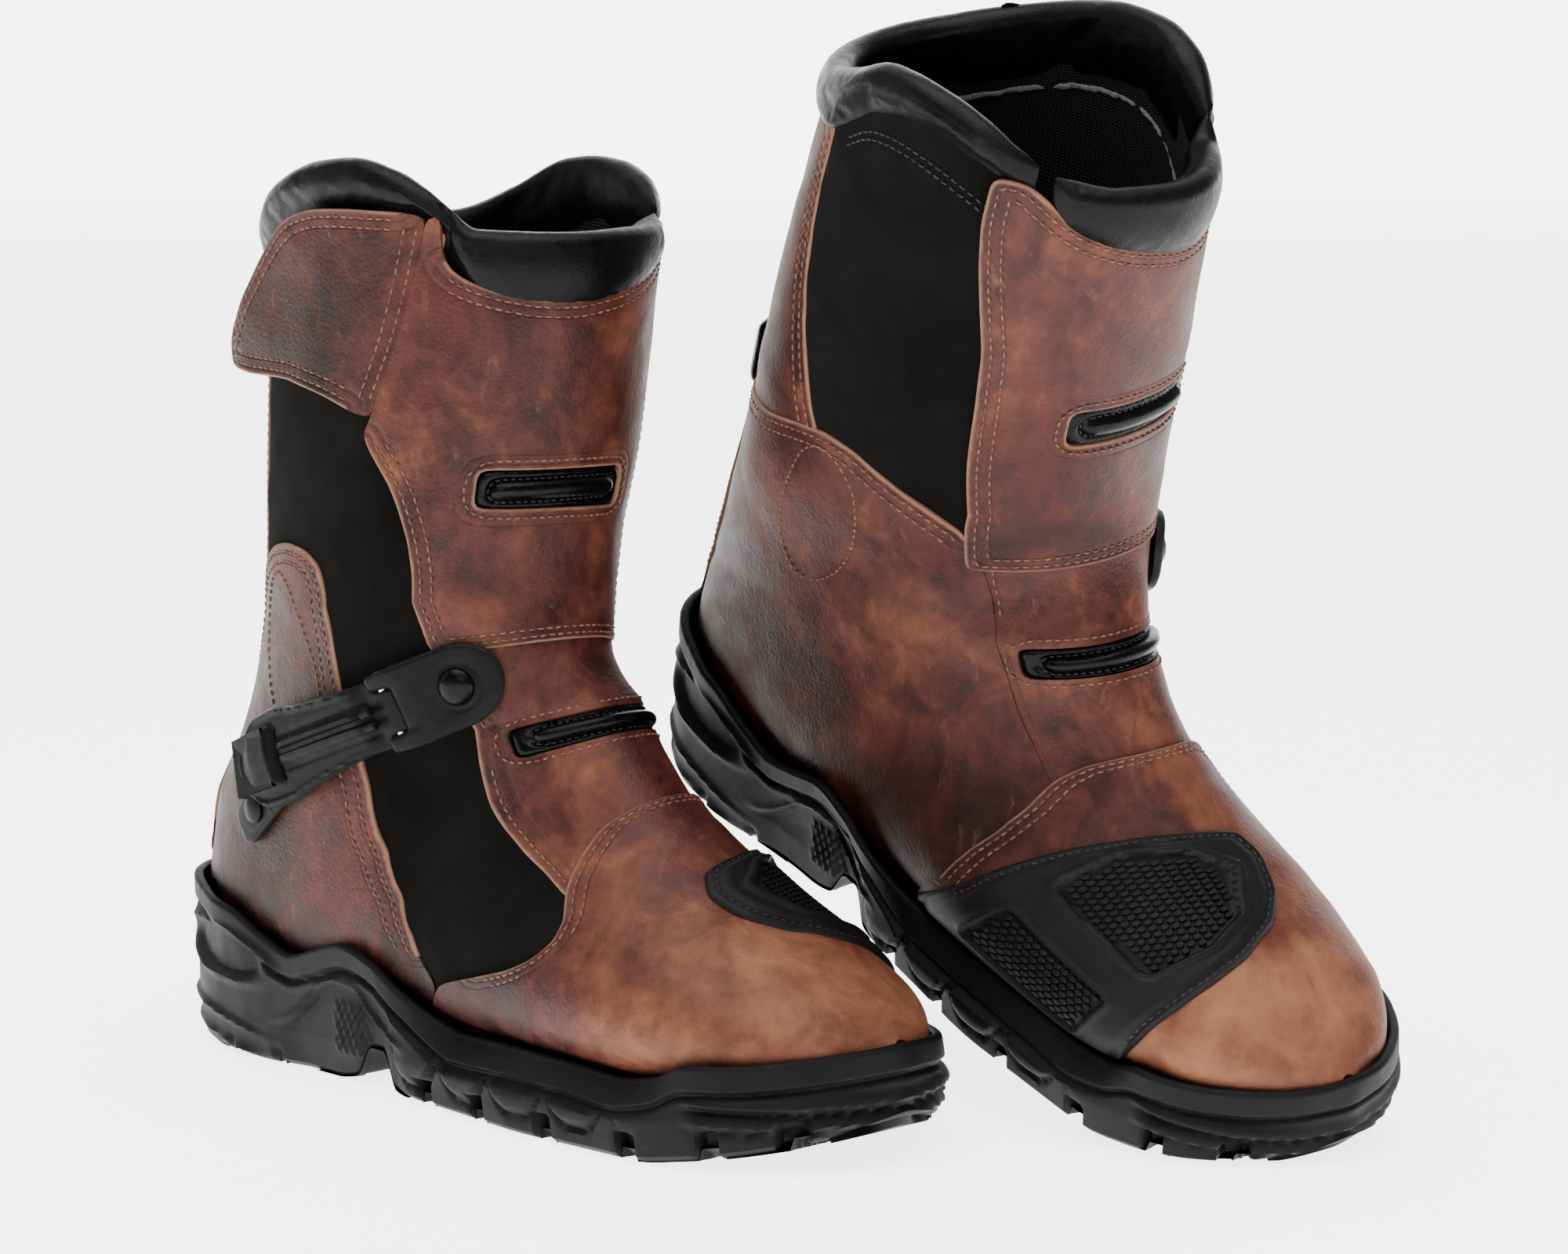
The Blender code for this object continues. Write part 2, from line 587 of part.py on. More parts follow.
def make_boot(prefix):
    back = back_hem()
    make_outsole(prefix + "outsole")
    make_lining(prefix + "lining")

    # boards and plates under the foot
    make_plate(prefix + "insole_board", "board", 40, 280,
               lambda x, s: np.interp(x, [40, 120, 200, 240, 280], [22, 20, 26, 22, 13]),
               lambda x: bottom(x) - 1.5, lambda x: bottom(x) - 0.1)
    make_plate(prefix + "shank", "steel", 62, 172, lambda x, s: 8.0,
               lambda x: bottom(x) - 3.4, lambda x: bottom(x) - 1.9)
    make_plate(prefix + "footbed", "mesh", 60, 256,
               lambda x, s: np.interp(x, [60, 120, 200, 240, 256], [13, 13, 16, 11, 6]),
               lambda x: bottom(x) + 5.6, lambda x: bottom(x) + 9.6)

    # hidden stiffeners
    shell(prefix + "toe_puff", "board", [[(0.84, 88), (0.84, -88)], [(0.93, 92), (0.93, -92)]],
          spread(12), [3], *STIFFENER)
    shell(prefix + "heel_counter", "board",
          [[(0.375, 122), (0.375, 238)], [(0.440, 122), (0.440, 238)]], spread(10), [2], 0.1, 0.7)

    # shaft and foot panels
    shin = [[(0.027, 61), (0.027, 42), (0.057, 34), (0.077, 22), (0.097, 0), (0.094, -24),
             (0.078, -44), (0.040, -53), (0.040, -69)],
            [(0.130, 60), (0.130, -66)], [(0.165, 59), (0.165, -60)], [(0.206, 48.5), (0.206, -59)],
            [(0.236, 42), (0.236, -58)], [(0.300, 41.5), (0.300, -56.5)], [(0.345, 42), (0.345, -52)]]
    shin_us = [0, 0.13, 0.25, 0.36, 0.48, 0.60, 0.72, 0.84, 0.92, 1]
    shin_hole = ((3, 4), (0.25, 0.84))
    shell(prefix + "shin_panel", "leather", shin, shin_us, [2, 1, 1, 1, 2, 1], *LEATHER, hole=shin_hole)
    instep = [[(0.347, 42), (0.347, -52)], [(0.424, 45), (0.424, -44.5)], [(0.454, 46), (0.454, -43)],
              [(0.52, 46), (0.52, -41)],
              [(0.606, 43), (0.566, 27), (0.546, 5), (0.546, -14), (0.554, -27), (0.588, -39)]]
    instep_us = [0, 0.13, 0.27, 0.41, 0.56, 0.71, 0.85, 1]
    instep_hole = ((1, 2), (0.13, 0.85))
    shell(prefix + "instep_panel", "leather", instep, instep_us, [2, 1, 1, 2], *LEATHER,
          hole=instep_hole)

    def bulge(v, u):
        return 5.0 + 2.4 * math.sin(math.pi * v)

    for name, rows, hole in (("shin_insert_upper", shin, shin_hole),
                             ("shin_insert_lower", instep, instep_hole)):
        (v0, v1), (u0, u1) = hole
        edge = [[tuple(patch(rows, v, u)) for u in np.linspace(u0, u1, 5)] for v in (v0, v1)]
        shell(prefix + name, "insert", edge, spread(5), [3], 1.4, bulge)

    vamp = [[(0.668, hem_angle(0.668, 1)), (0.692, 75), (0.692, 62), (0.659, 50), (0.625, 42),
             (0.576, 26), (0.556, 5), (0.556, -14), (0.565, -28), (0.609, -46), (0.648, -78),
             (0.668, hem_angle(0.668, -1))]]
    for t in (0.745, 0.80, 0.85, 0.89, 0.925, 0.955, 0.983):
        vamp.append([(t, hem_angle(t, 1)), (t, 55), (t, 0), (t, -55), (t, hem_angle(t, -1))])
    shell(prefix + "vamp", "leather", vamp, spread(16), [4, 1, 1, 1, 1, 1, 1], *LEATHER)

    quarter = [[(0.275, 179.5), (0.262, 130), (0.252, 105), (0.259, 86)],
               [(0.320, 179.5), (0.301, 76)], [(0.370, 179.5), (0.363, 78)],
               [(0.405, 179.5), (0.42, 77)], [(0.432, 179.5), (0.50, 74)],
               [(back, 179.5)] + hem(1, back + 0.008, 0.64)]
    shell(prefix + "quarter_lateral", "leather", quarter, spread(7), [1, 2, 1, 2, 2], *LEATHER)
    quarter = [[(0.275, -179.5), (0.270, -128), (0.262, -105), (0.283, -82), (0.317, -57)],
               [(0.330, -179.5), (0.365, -50.5)], [(0.375, -179.5), (0.43, -43.5)],
               [(0.410, -179.5), (0.50, -41.5)], [(0.435, -179.5), (0.592, -41.5)],
               [(back, -179.5)] + hem(-1, back + 0.008, 0.655)]
    shell(prefix + "quarter_medial", "leather", quarter, spread(8), [1, 1, 1, 1, 4], *LEATHER)
    shell(prefix + "back_strip", "leather",
          [[(0.082, 128), (0.082, 232)], [(0.180, 128), (0.180, 232)], [(0.262, 128), (0.268, 180),
           (0.268, 232)]], spread(6), [2, 2], *LEATHER)

    left = [(0.054, 118), (0.078, 121), (0.092, 126), (0.240, 126), (0.246, 104), (0.252, 84), (0.301, 74),
            (0.363, 76), (0.42, 75), (0.50, 72), (0.655, 101)]
    right = [(0.032, 63), (0.08, 62.5), (0.10, 62), (0.168, 60.5), (0.209, 50.5), (0.240, 44), (0.300, 43.5),
             (0.363, 44.5), (0.455, 48), (0.547, 48), (0.688, 76)]
    rows = [[a, b] for a, b in zip(left, right)]
    rows.insert(-1, [(0.58, 84), (0.62, 44.5)])
    rows.insert(-1, [(0.62, 93), (0.655, 51.5)])
    shell(prefix + "gusset_lateral", "gusset", rows, spread(4), [1, 1, 3, 1, 1, 1, 1, 2, 2, 1, 1, 1],
          *LEATHER)
    rows = [[(0.082, -71), (0.082, -126)], [(0.165, -62), (0.17, -126)], [(0.235, -60), (0.256, -126)],
            [(0.270, -59.5), (0.252, -106)], [(0.290, -58.7), (0.274, -84)], [(0.303, -58.5), (0.297, -66)]]
    shell(prefix + "gusset_medial", "gusset", rows, spread(4), [2, 2, 1, 1, 1], *LEATHER)

    # padded collar in two parts
    def puff(v, u):
        return 4.0 + 3.2 * math.sin(math.pi * min(u * 1.15, 1.0) ** 0.8)

    def top(th):
        return float(np.interp(th if th <= 180 else th - 360, *zip(*TOPLINE)))

    lower = [(50, 0.018), (64, 0.021), (100, 0.034), (120, 0.046), (129, 0.074), (160, 0.076),
             (200, 0.076), (236, 0.074), (262, 0.070), (287, 0.066)]
    rows = [[(top(th), th), (t, th)] for th, t in lower]
    shell(prefix + "collar_rear", "collar", rows, [0, 0.35, 0.7, 1],
          [1, 2, 2, 1, 2, 2, 2, 2, 2], LEATHER[0], puff)
    rows = [[(top(th), th), (t, th)] for th, t in
            ((35, 0.044), (26, 0.059), (14, 0.073), (0, 0.082), (-24, 0.079), (-40, 0.066), (-49, 0.045))]
    shell(prefix + "collar_front", "collar", rows, [0, 0.25, 0.5, 0.75, 1],
          [1, 1, 1, 2, 1, 1], LEATHER[0], puff)

    # overlaid pads
    shell(prefix + "shift_pad", "pad",
          [[(0.665, hem_angle(0.665, -1, -4.5)), (0.668, -80), (0.662, -40), (0.674, -10), (0.70, 10)],
           [(0.745, hem_angle(0.745, -1, -4.5)), (0.745, 14)],
           [(0.838, hem_angle(0.838, -1, -4.5)), (0.842, -60), (0.838, -15), (0.80, 10)]],
          spread(9), [2, 2], OVERLAY + 0.5, OVERLAY + 2.6)
    shell(prefix + "achilles_pad", "pad", [[(0.238, 162), (0.238, 198)], [(0.286, 162), (0.286, 198)]],
          spread(4), [3], OVERLAY + 0.8, lambda v, u: OVERLAY + 2.0 + 3.6 * math.sin(math.pi * v)
          * math.sin(math.pi * (0.1 + 0.8 * u)))

    # closing flap with its hook and loop patches
    lift = 4.6
    axis_a = surf(*FLAP_TOP) + normal(*FLAP_TOP) * lift
    axis_b = surf(*FLAP_BOTTOM) + normal(*FLAP_BOTTOM) * lift
    origin = (axis_a + axis_b) / 2

    def flap_low(v, u):
        return lift + 2.6 * min(u / 0.35, 1.0)

    shell(prefix + "flap", "leather",
          [[(0.035, 45), (0.035, 92), (0.062, 119)], [(0.110, 51), (0.110, 126)],
           [(0.170, 59), (0.157, 92), (0.146, 132)]], spread(6), [2, 2],
          flap_low, lambda v, u: flap_low(v, u) + 1.8, origin=origin)
    shell(prefix + "flap_hook", "velcro", [[(0.062, 88), (0.066, 112)], [(0.138, 90), (0.130, 118)]],
          spread(3), [3], 5.7, 6.7, origin=origin)
    shell(prefix + "flap_loop", "velcro", [[(0.052, 80), (0.056, 116)], [(0.150, 82), (0.142, 116)]],
          spread(4), [3], 4.1, 5.1)
    make_buckle(prefix)


def main():
    for obj in list(bpy.data.objects):
        bpy.data.objects.remove(obj, do_unlink=True)
    make_boot("right_")
    make_boot("left_")
    bpy.context.view_layer.update()
    # the left boot: mirrored, heel raised about the ball of the foot, set down beside the right
    swing = (Matrix.Translation(Vector(LEFT_SHIFT) * 0.001)
             @ Matrix.Translation((0.150, 0, 0))
             @ Matrix.Rotation(math.radians(LEFT_ANGLE), 4, "Z")
             @ Matrix.Translation((-0.150, 0, 0))
             @ Matrix.Translation((0.300, 0, 0))
             @ Matrix.Rotation(math.radians(-LEFT_ROLL), 4, "X")
             @ Matrix.Rotation(math.radians(LEFT_PITCH), 4, "Y")
             @ Matrix.Translation((-0.300, 0, 0)))
    mirror = Matrix.Scale(-1, 4, (0, 1, 0))
    for obj in bpy.data.objects:
        if obj.name.startswith("left_"):
            place = Matrix.Translation(obj.location)
            obj.data.transform(mirror)
            obj.data.flip_normals()
            obj.matrix_world = swing @ (mirror @ place @ mirror)
    # the pair's origin: middle of its footprint, on the floor
    corners = np.array([obj.matrix_world @ v.co for obj in bpy.data.objects for v in obj.data.vertices])
    low, high = corners.min(axis=0), corners.max(axis=0)
    centre = Vector(((low[0] + high[0]) / 2, (low[1] + high[1]) / 2, low[2]))
    for obj in bpy.data.objects:
        obj.matrix_world = Matrix.Translation(-centre) @ obj.matrix_world


main()
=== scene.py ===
"""Looks for the pair of riding boots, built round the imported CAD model.

The right boot is modelled once, in local millimetres (x towards the toe, y medial, z up),
and every piece is placed twice: as it is, and mirrored and tilted for the left boot.
Leather, pads and collars follow one boot surface surf(t, th):
  t   runs from the top of the shaft (0) down the instep to the tip of the toe (1)
  th  runs round the leg in degrees: 0 front/top, +90 lateral, -90 medial, 180 back/underside
A flat coordinate is (t * T_MM, th * TH_MM), which is roughly millimetres on the boot.
"""

import json
import math

import bpy
import numpy as np
from mathutils import Matrix, Vector
from mathutils.geometry import delaunay_2d_cdt


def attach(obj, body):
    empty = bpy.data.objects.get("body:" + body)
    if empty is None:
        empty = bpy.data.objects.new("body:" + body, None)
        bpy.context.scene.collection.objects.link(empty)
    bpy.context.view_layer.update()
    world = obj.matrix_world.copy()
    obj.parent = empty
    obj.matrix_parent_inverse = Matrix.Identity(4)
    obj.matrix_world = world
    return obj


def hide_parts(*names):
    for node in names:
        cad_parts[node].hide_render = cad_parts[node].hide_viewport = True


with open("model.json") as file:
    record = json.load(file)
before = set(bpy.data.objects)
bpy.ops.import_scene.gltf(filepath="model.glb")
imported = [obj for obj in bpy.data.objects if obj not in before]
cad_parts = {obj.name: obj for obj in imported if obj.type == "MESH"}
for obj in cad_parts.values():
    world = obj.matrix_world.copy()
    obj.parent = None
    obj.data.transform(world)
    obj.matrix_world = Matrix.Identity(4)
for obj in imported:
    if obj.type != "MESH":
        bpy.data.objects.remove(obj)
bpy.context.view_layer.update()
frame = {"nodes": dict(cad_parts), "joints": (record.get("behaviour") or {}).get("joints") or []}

# ---- dimensions shared with the CAD part (mm, degrees) ---------------------------------------
BOOT_LENGTH, RIDGE, TWIST, TOP_TWIST = 312.0, 0.06, 14.0, 21.0
SOLE_CLEARANCE, HEM_DEPTH, HEM_LIMIT = 5.8, 5.0, 136.0
LEVER_PIN_S, LEVER_PIN_H = 35.0, 8.8
LEFT_ANGLE, LEFT_PITCH, LEFT_ROLL, LEFT_SHIFT = -8.0, 20.5, -8.8, (82.0, 121.0, -6.68)
T_MM, TH_MM = 440.0, 0.80
CAD_TH_MM = 0.78            # the CAD part measures its buckle paths with this instead of TH_MM
STATIONS = np.array([
    (178.5, 286, 54, 290, 46.5, 50, 1.00), (175.5, 258, 50, 262, 46.5, 50, 1.00),
    (172.5, 231, 46.5, 233, 47, 51, 1.00), (169, 204, 43, 203, 48, 52, 1.00),
    (165.5, 178, 39, 170, 48, 50, 1.00), (165.5, 155, 34, 137, 46, 47, 1.00),
    (172, 135, 22, 104, 42, 40, 0.95), (185, 120, 9, 70, 41, 38, 0.90),
    (197, 106, 9, 38, 41, 37, 0.85), (207, 95, 56, 26, 42, 38, 0.78),
    (218, 86, 108, 24, 44, 41, 0.72), (230, 77.5, 156, 22, 47, 44, 0.68),
    (243, 69, 199, 20, 49, 44, 0.66), (259, 60.5, 236, 20, 46, 42, 0.66),
    (277, 51, 267, 23, 38, 35, 0.70), (291, 41, 289, 27, 23, 21, 0.80),
    (299, 35, 299, 29, 5, 5, 0.90)], dtype=float)
PLAN = np.array([(-4, 1, 1), (4, 20, 19), (12, 29, 28), (30, 38, 36), (55, 42, 38), (85, 43, 37),
                 (120, 46, 40), (160, 51, 46), (200, 56, 51), (240, 56, 51), (272, 49, 45),
                 (290, 37, 34), (302, 21, 19), (308, 1, 1)], dtype=float)
RIM = [(-4, 56), (10, 55), (24, 52.5), (46, 48.5), (63, 41.5), (76, 37.5), (92, 41.5), (108, 45.5),
       (122, 42), (134, 34.5), (149, 27), (161, 24), (190, 25), (215, 24.5), (235, 23), (251, 25.5),
       (264, 31), (280, 32), (295, 34), (310, 37)]
TREAD = [(-4, 17), (6, 7), (20, 1), (34, 0), (96, 0), (107, 2), (115, 12.5), (121, 12.5), (128, 1),
         (134, 0), (245, 0), (262, 2), (285, 6), (300, 10), (310, 16)]
TOPLINE = [(-180, .043), (-150, .036), (-130, .018), (-112, -.003), (-100, -.006), (-88, -.004),
           (-76, .003), (-62, .016), (-50, .028), (-30, .034), (0, .037), (30, .036), (40, .022),
           (47, .011), (60, -.003), (72, -.008), (88, -.004), (105, .008), (120, .020), (135, .030),
           (150, .037), (180, .043)]
BUCKLE_PATH = [(.366, 24), (.373, 40), (.390, 70), (.430, 124), (.438, 134)]
STRAP_PATH = [(.398, 86), (.436, 106), (.482, 128), (.50, 136)]

# outer surface of each layer, mm above the boot surface
GUSSET, STRIP, INSTEP, QUARTER, SHIN, VAMP = 2.2, 2.8, 2.9, 3.3, 4.0, 4.4
THICK = 1.6
NEAR, FAR = 2.3, 5.2        # distance of the two stitch rows from a panel's edge
CHANNEL = 0.22              # depth the stitch rows are drawn into the leather
FOLD_REACH = 6.5            # leather this near the flap's fold has no cut edge
FLAP_LIFT = 4.4             # how far the flap stands out over the layers under it
CROWN, PAD_IN = 0.0085, -5.0    # collar: height of its crown (t), thickness inwards (mm)
CLOTH_FRAMES, CLOTH_CAP, CLOTH_SHARE = 20, 1.4, 0.6
SPINE = (42.0, 262.0)       # the sole's rays start from this stretch of its centre line (x)
SOLE_FLOOR = 17.0           # lowest level of the foot's hollow in the sole
YARN_PITCH = 1.25


# ---- the boot surface ----------------------------------------------------------------------
def spline(t, column):
    values = STATIONS[:, column]
    last = len(values) - 1
    s = np.asarray(t, float) * last
    i = np.clip(np.floor(s).astype(int), 0, last - 1)
    f = s - i
    c = np.clip(f, 0, 1)
    p1, p2 = values[i], values[i + 1]
    p0 = np.where(i == 0, 2 * p1 - p2, values[np.clip(i - 1, 0, last)])
    p3 = np.where(i == last - 1, 2 * p2 - p1, values[np.clip(i + 2, 0, last)])
    curve = 0.5 * (2 * p1 + (p2 - p0) * c + (2 * p0 - 5 * p1 + 4 * p2 - p3) * c ** 2
                   + (3 * p1 - p0 - 3 * p2 + p3) * c ** 3)
    return curve + np.where((f < 0) | (f > 1), (p2 - p1) * (f - c), 0)


def surf(t, th):
    t, th = np.broadcast_arrays(np.asarray(t, float), np.radians(np.asarray(th, float)))
    high = np.radians(TOP_TWIST) * np.clip((0.25 - t) / 0.20, 0, 1)
    th = th + high
    ax, az, bx, bz, lateral, medial, full = [spline(t, c) for c in range(7)]
    rise = ((1 - np.cos(th)) / 2 + RIDGE) ** full - RIDGE ** full
    along = 1 - 2 * rise / ((1 + RIDGE) ** full - RIDGE ** full)
    sine = np.sin(th)
    side = np.where(sine > 0, lateral, medial) * np.sign(sine) * np.abs(sine) ** 0.88
    half = np.hypot(ax - bx, az - bz) / 2
    turn = np.radians(TWIST) * np.clip((0.42 - t) / 0.12, 0, 1) - high
    p = along * half * np.cos(turn) - side * np.sin(turn)
    q = along * half * np.sin(turn) + side * np.cos(turn)
    return np.stack([(ax + bx) / 2 + p * (ax - bx) / (2 * half), -q,
                     (az + bz) / 2 + p * (az - bz) / (2 * half)], -1)


def normal(t, th):
    t, th = np.asarray(t, float), np.asarray(th, float)
    n = np.cross(surf(t, th + 0.1) - surf(t, th - 0.1), surf(t + 1e-3, th) - surf(t - 1e-3, th))
    return n / np.linalg.norm(n, axis=-1, keepdims=True)


def angles(xy):
    """(t, th) of a flat coordinate."""
    return xy[..., 0] / T_MM, xy[..., 1] / TH_MM


def on_boot(xy, h):
    """Point h mm above the boot surface at a flat coordinate."""
    t, th = angles(xy)
    return surf(t, th) + normal(t, th) * np.asarray(h, float)[..., None]


def table(pairs):
    """Smooth function through (x, y) pairs that doesn't overshoot them."""
    x, y = np.array(pairs, float).T
    step = np.diff(x)
    slope = np.diff(y) / step
    m = np.concatenate([[slope[0]], np.where(slope[:-1] * slope[1:] > 0,
                        2 * slope[:-1] * slope[1:] / np.where(slope[:-1] + slope[1:] == 0, 1,
                                                              slope[:-1] + slope[1:]), 0),
                        [slope[-1]]])

    def value(q):
        q = np.clip(np.asarray(q, float), x[0], x[-1])
        i = np.clip(np.searchsorted(x, q, side="right") - 1, 0, len(x) - 2)
        h = step[i]
        f = (q - x[i]) / h
        return (y[i] * (1 + 2 * f) * (1 - f) ** 2 + h * m[i] * f * (1 - f) ** 2
                + y[i + 1] * f * f * (3 - 2 * f) + h * m[i + 1] * f * f * (f - 1))
    return value


rim, tread = table(RIM), table(TREAD)


def hem_angle(t, side, depth=HEM_DEPTH):
    around = np.linspace(50, 180, 521)
    points = surf(t, side * around)
    below = points[:, 2] < rim(points[:, 0]) - depth
    return side * min(around[np.argmax(below)] if below.any() else 180.0, HEM_LIMIT)


def hem(side, start, end, count):
    return [(t, hem_angle(t, side)) for t in np.linspace(start, end, count)]


def back_hem():
    ts = np.linspace(0.40, 0.52, 241)
    points = surf(ts, 180.0)
    return ts[np.argmax(points[:, 2] < rim(points[:, 0]) - HEM_DEPTH)]


def bump(x, centre, width):
    return np.exp(-((x - centre) / width) ** 2)


def step(x, low, high):
    f = np.clip((x - low) / (high - low), 0, 1)
    return f * f * (3 - 2 * f)


def wobble(p, size, seed=0.0):
    """Smooth noise of about -1..1 from a few sine waves; size is its wavelength in mm."""
    total = 0
    for k, (a, b, c) in enumerate(((1, .6, -.4), (-.5, 1.1, .7), (.8, -.9, 1.2), (-1.2, -.3, .9))):
        q = p @ np.array([a, b, c]) * (1 + 0.37 * k) * 6.283 / size / 1.4
        total = total + np.sin(q + seed * (k + 1) + 1.3 * np.sin(q[..., None].sum(-1) * 0.61 + k))
    return total / 4


# ---- curves on the flat coordinate -----------------------------------------------------------
def flat(points):
    return np.array(points, float) * (T_MM, TH_MM)


def resample(curve, spacing, closed):
    pts = np.vstack([curve, curve[:1]]) if closed else curve
    s = np.concatenate([[0], np.cumsum(np.linalg.norm(np.diff(pts, axis=0), axis=1))])
    count = max(int(round(s[-1] / spacing)), 3)
    q = np.linspace(0, s[-1], count + 1)
    if closed:
        q = q[:-1]
    return np.stack([np.interp(q, s, pts[:, k]) for k in range(pts.shape[1])], -1)


def ease(curve, passes, closed):
    c = curve.copy()
    for _ in range(passes):
        if closed:
            c = (np.roll(c, 1, 0) + 2 * c + np.roll(c, -1, 0)) / 4
        else:
            c[1:-1] = (c[:-2] + 2 * c[1:-1] + c[2:]) / 4
    return c


def loop(points, spacing=1.6, passes=5):
    """Closed outline through (t, th) points with softened corners."""
    return resample(ease(resample(flat(points), spacing, True), passes, True), spacing, True)


def line(points):
    """Open curve through (t, th) points."""
    return ease(resample(flat(points), 1.0, False), 20, False)


def area(c):
    return 0.5 * np.sum(c[:, 0] * np.roll(c[:, 1], -1) - np.roll(c[:, 0], -1) * c[:, 1])


def inset(c, d):
    """Closed curve moved d mm inwards (outwards where d is negative)."""
    tangent = np.roll(c, -1, 0) - np.roll(c, 1, 0)
    tangent /= np.linalg.norm(tangent, axis=1, keepdims=True)
    inward = np.stack([-tangent[:, 1], tangent[:, 0]], -1) * np.sign(area(c))
    return c + inward * d


def distance(points, curve):
    """Distance from each point to the nearest segment of a closed curve or a cloud of points."""
    out = np.full(len(points), 1e9)
    a, b = curve[:-1], curve[1:]
    ab = b - a
    long = np.maximum((ab ** 2).sum(1), 1e-9)
    good = long < 25
    a, ab, long = a[good], ab[good], long[good]
    for k in range(0, len(points), 2000):
        p = points[k:k + 2000, None, :]
        f = np.clip(((p - a) * ab).sum(-1) / long, 0, 1)
        out[k:k + 2000] = np.sqrt((((a + ab * f[..., None]) - p) ** 2).sum(-1)).min(1)
    return out


def inside(points, c):
    nxt = np.roll(c, -1, 0)
    result = np.zeros(len(points), bool)
    for k in range(0, len(points), 4000):
        x, y = points[k:k + 4000, 0, None], points[k:k + 4000, 1, None]
        cross = (c[:, 1] > y) != (nxt[:, 1] > y)
        dy = np.where(nxt[:, 1] == c[:, 1], 1e-12, nxt[:, 1] - c[:, 1])
        result[k:k + 4000] = (cross & (x < (nxt[:, 0] - c[:, 0]) * (y - c[:, 1]) / dy
                                       + c[:, 0])).sum(1) % 2 == 1
    return result


# ---- mesh builders -------------------------------------------------------------------------
def solid(outline, top, bottom, place=on_boot, holes=(), spacing=2.4, rings=(0.45, 1.2),
          bare=None):
    """Closed solid over an outline: top(xy, d) and bottom(xy, d) are heights above the place,
    d is the distance from an edge.  Edges where bare(xy) is False don't count in d."""
    loops = [outline, *holes]
    closed = [np.vstack([c, c[:1]]) for c in loops]
    points = list(loops)
    for n, c in enumerate(loops):
        for r in rings:
            ring = inset(c, r if n == 0 else -r)
            near = np.min([distance(ring, q) for q in closed], axis=0)
            points.append(ring[near > 0.93 * r])
    low, high = outline.min(0), outline.max(0)
    xs = np.arange(low[0], high[0], spacing)
    ys = np.arange(low[1], high[1], spacing * 0.866)
    gx, gy = np.meshgrid(xs, ys)
    gx = gx + (np.arange(len(ys)) % 2)[:, None] * spacing / 2
    grid = np.stack([gx.ravel(), gy.ravel()], -1)
    ok = inside(grid, outline)
    for c in holes:
        ok &= ~inside(grid, c)
    grid = grid[ok]
    if len(grid):
        near = np.min([distance(grid, q) for q in closed], axis=0)
        points.append(grid[near > (rings[-1] if rings else 0) + 0.55 * spacing])
    edges, base = [], 0
    for c in loops:
        n = len(c)
        edges += [(base + k, base + (k + 1) % n) for k in range(n)]
        base += n
    cloud = np.vstack(points)
    out = delaunay_2d_cdt([Vector(p) for p in cloud], edges, [], 0, 1e-4)
    xy = np.array([(v.x, v.y) for v in out[0]])
    tris = np.array([f for f in out[2] if len(f) == 3])
    centre = xy[tris].mean(1)
    keep = inside(centre, outline)
    for c in holes:
        keep &= ~inside(centre, c)
    tris = tris[keep]
    used = np.unique(tris)
    index = np.full(len(xy), -1)
    index[used] = np.arange(len(used))
    xy, tris = xy[used], index[tris]
    a, b, c = xy[tris[:, 0]], xy[tris[:, 1]], xy[tris[:, 2]]
    wrong = ((b - a)[:, 0] * (c - a)[:, 1] - (b - a)[:, 1] * (c - a)[:, 0]) < 0
    tris[wrong] = tris[wrong][:, ::-1]
    open_edges = {(f[k], f[(k + 1) % 3]) for f in tris.tolist() for k in range(3)}
    rim_edges = [e for e in open_edges if (e[1], e[0]) not in open_edges]
    d = np.full(len(xy), 99.0)
    for c in closed:
        shown = c if bare is None else c[np.array([bare(p) for p in c])]
        if len(shown) > 1:
            d = np.minimum(d, distance(xy, shown))
    n = len(xy)
    upper, lower = place(xy, top(xy, d)), place(xy, bottom(xy, d))
    # the flat (x, y) frame is left-handed on the boot where its outward cross product is negative
    probe = tris[len(tris) // 2]
    e1, e2 = upper[probe[1]] - upper[probe[0]], upper[probe[2]] - upper[probe[0]]
    out_dir = upper[probe[0]] - lower[probe[0]]
    flip = np.dot(np.cross(e1, e2), out_dir) < 0
    faces = []
    for f in tris.tolist():
        faces.append(f[::-1] if flip else f)
        faces.append([i + n for i in (f if flip else f[::-1])])
    for p, q in sorted(rim_edges):
        quad = [q, p, p + n, q + n]
        faces.append(quad[::-1] if flip else quad)
    return {"points": np.vstack([upper, lower]), "faces": faces,
            "edge": np.concatenate([d, np.zeros(n)]), "flat": np.vstack([xy, xy])}


def rounded(level, radius=0.5):
    """Height of a panel whose edge is rounded off."""
    def height(xy, d):
        x = 1 - np.clip(d / radius, 0, 1)
        return level - radius * (1 - np.sqrt(1 - x * x * 0.96))
    return height


def grid_faces(rows, cols):
    """Quads of a grid whose columns close into a ring."""
    faces = []
    for i in range(rows - 1):
        for j in range(cols):
            j2 = (j + 1) % cols
            faces.append([i * cols + j, i * cols + j2, (i + 1) * cols + j2, (i + 1) * cols + j])
    return faces


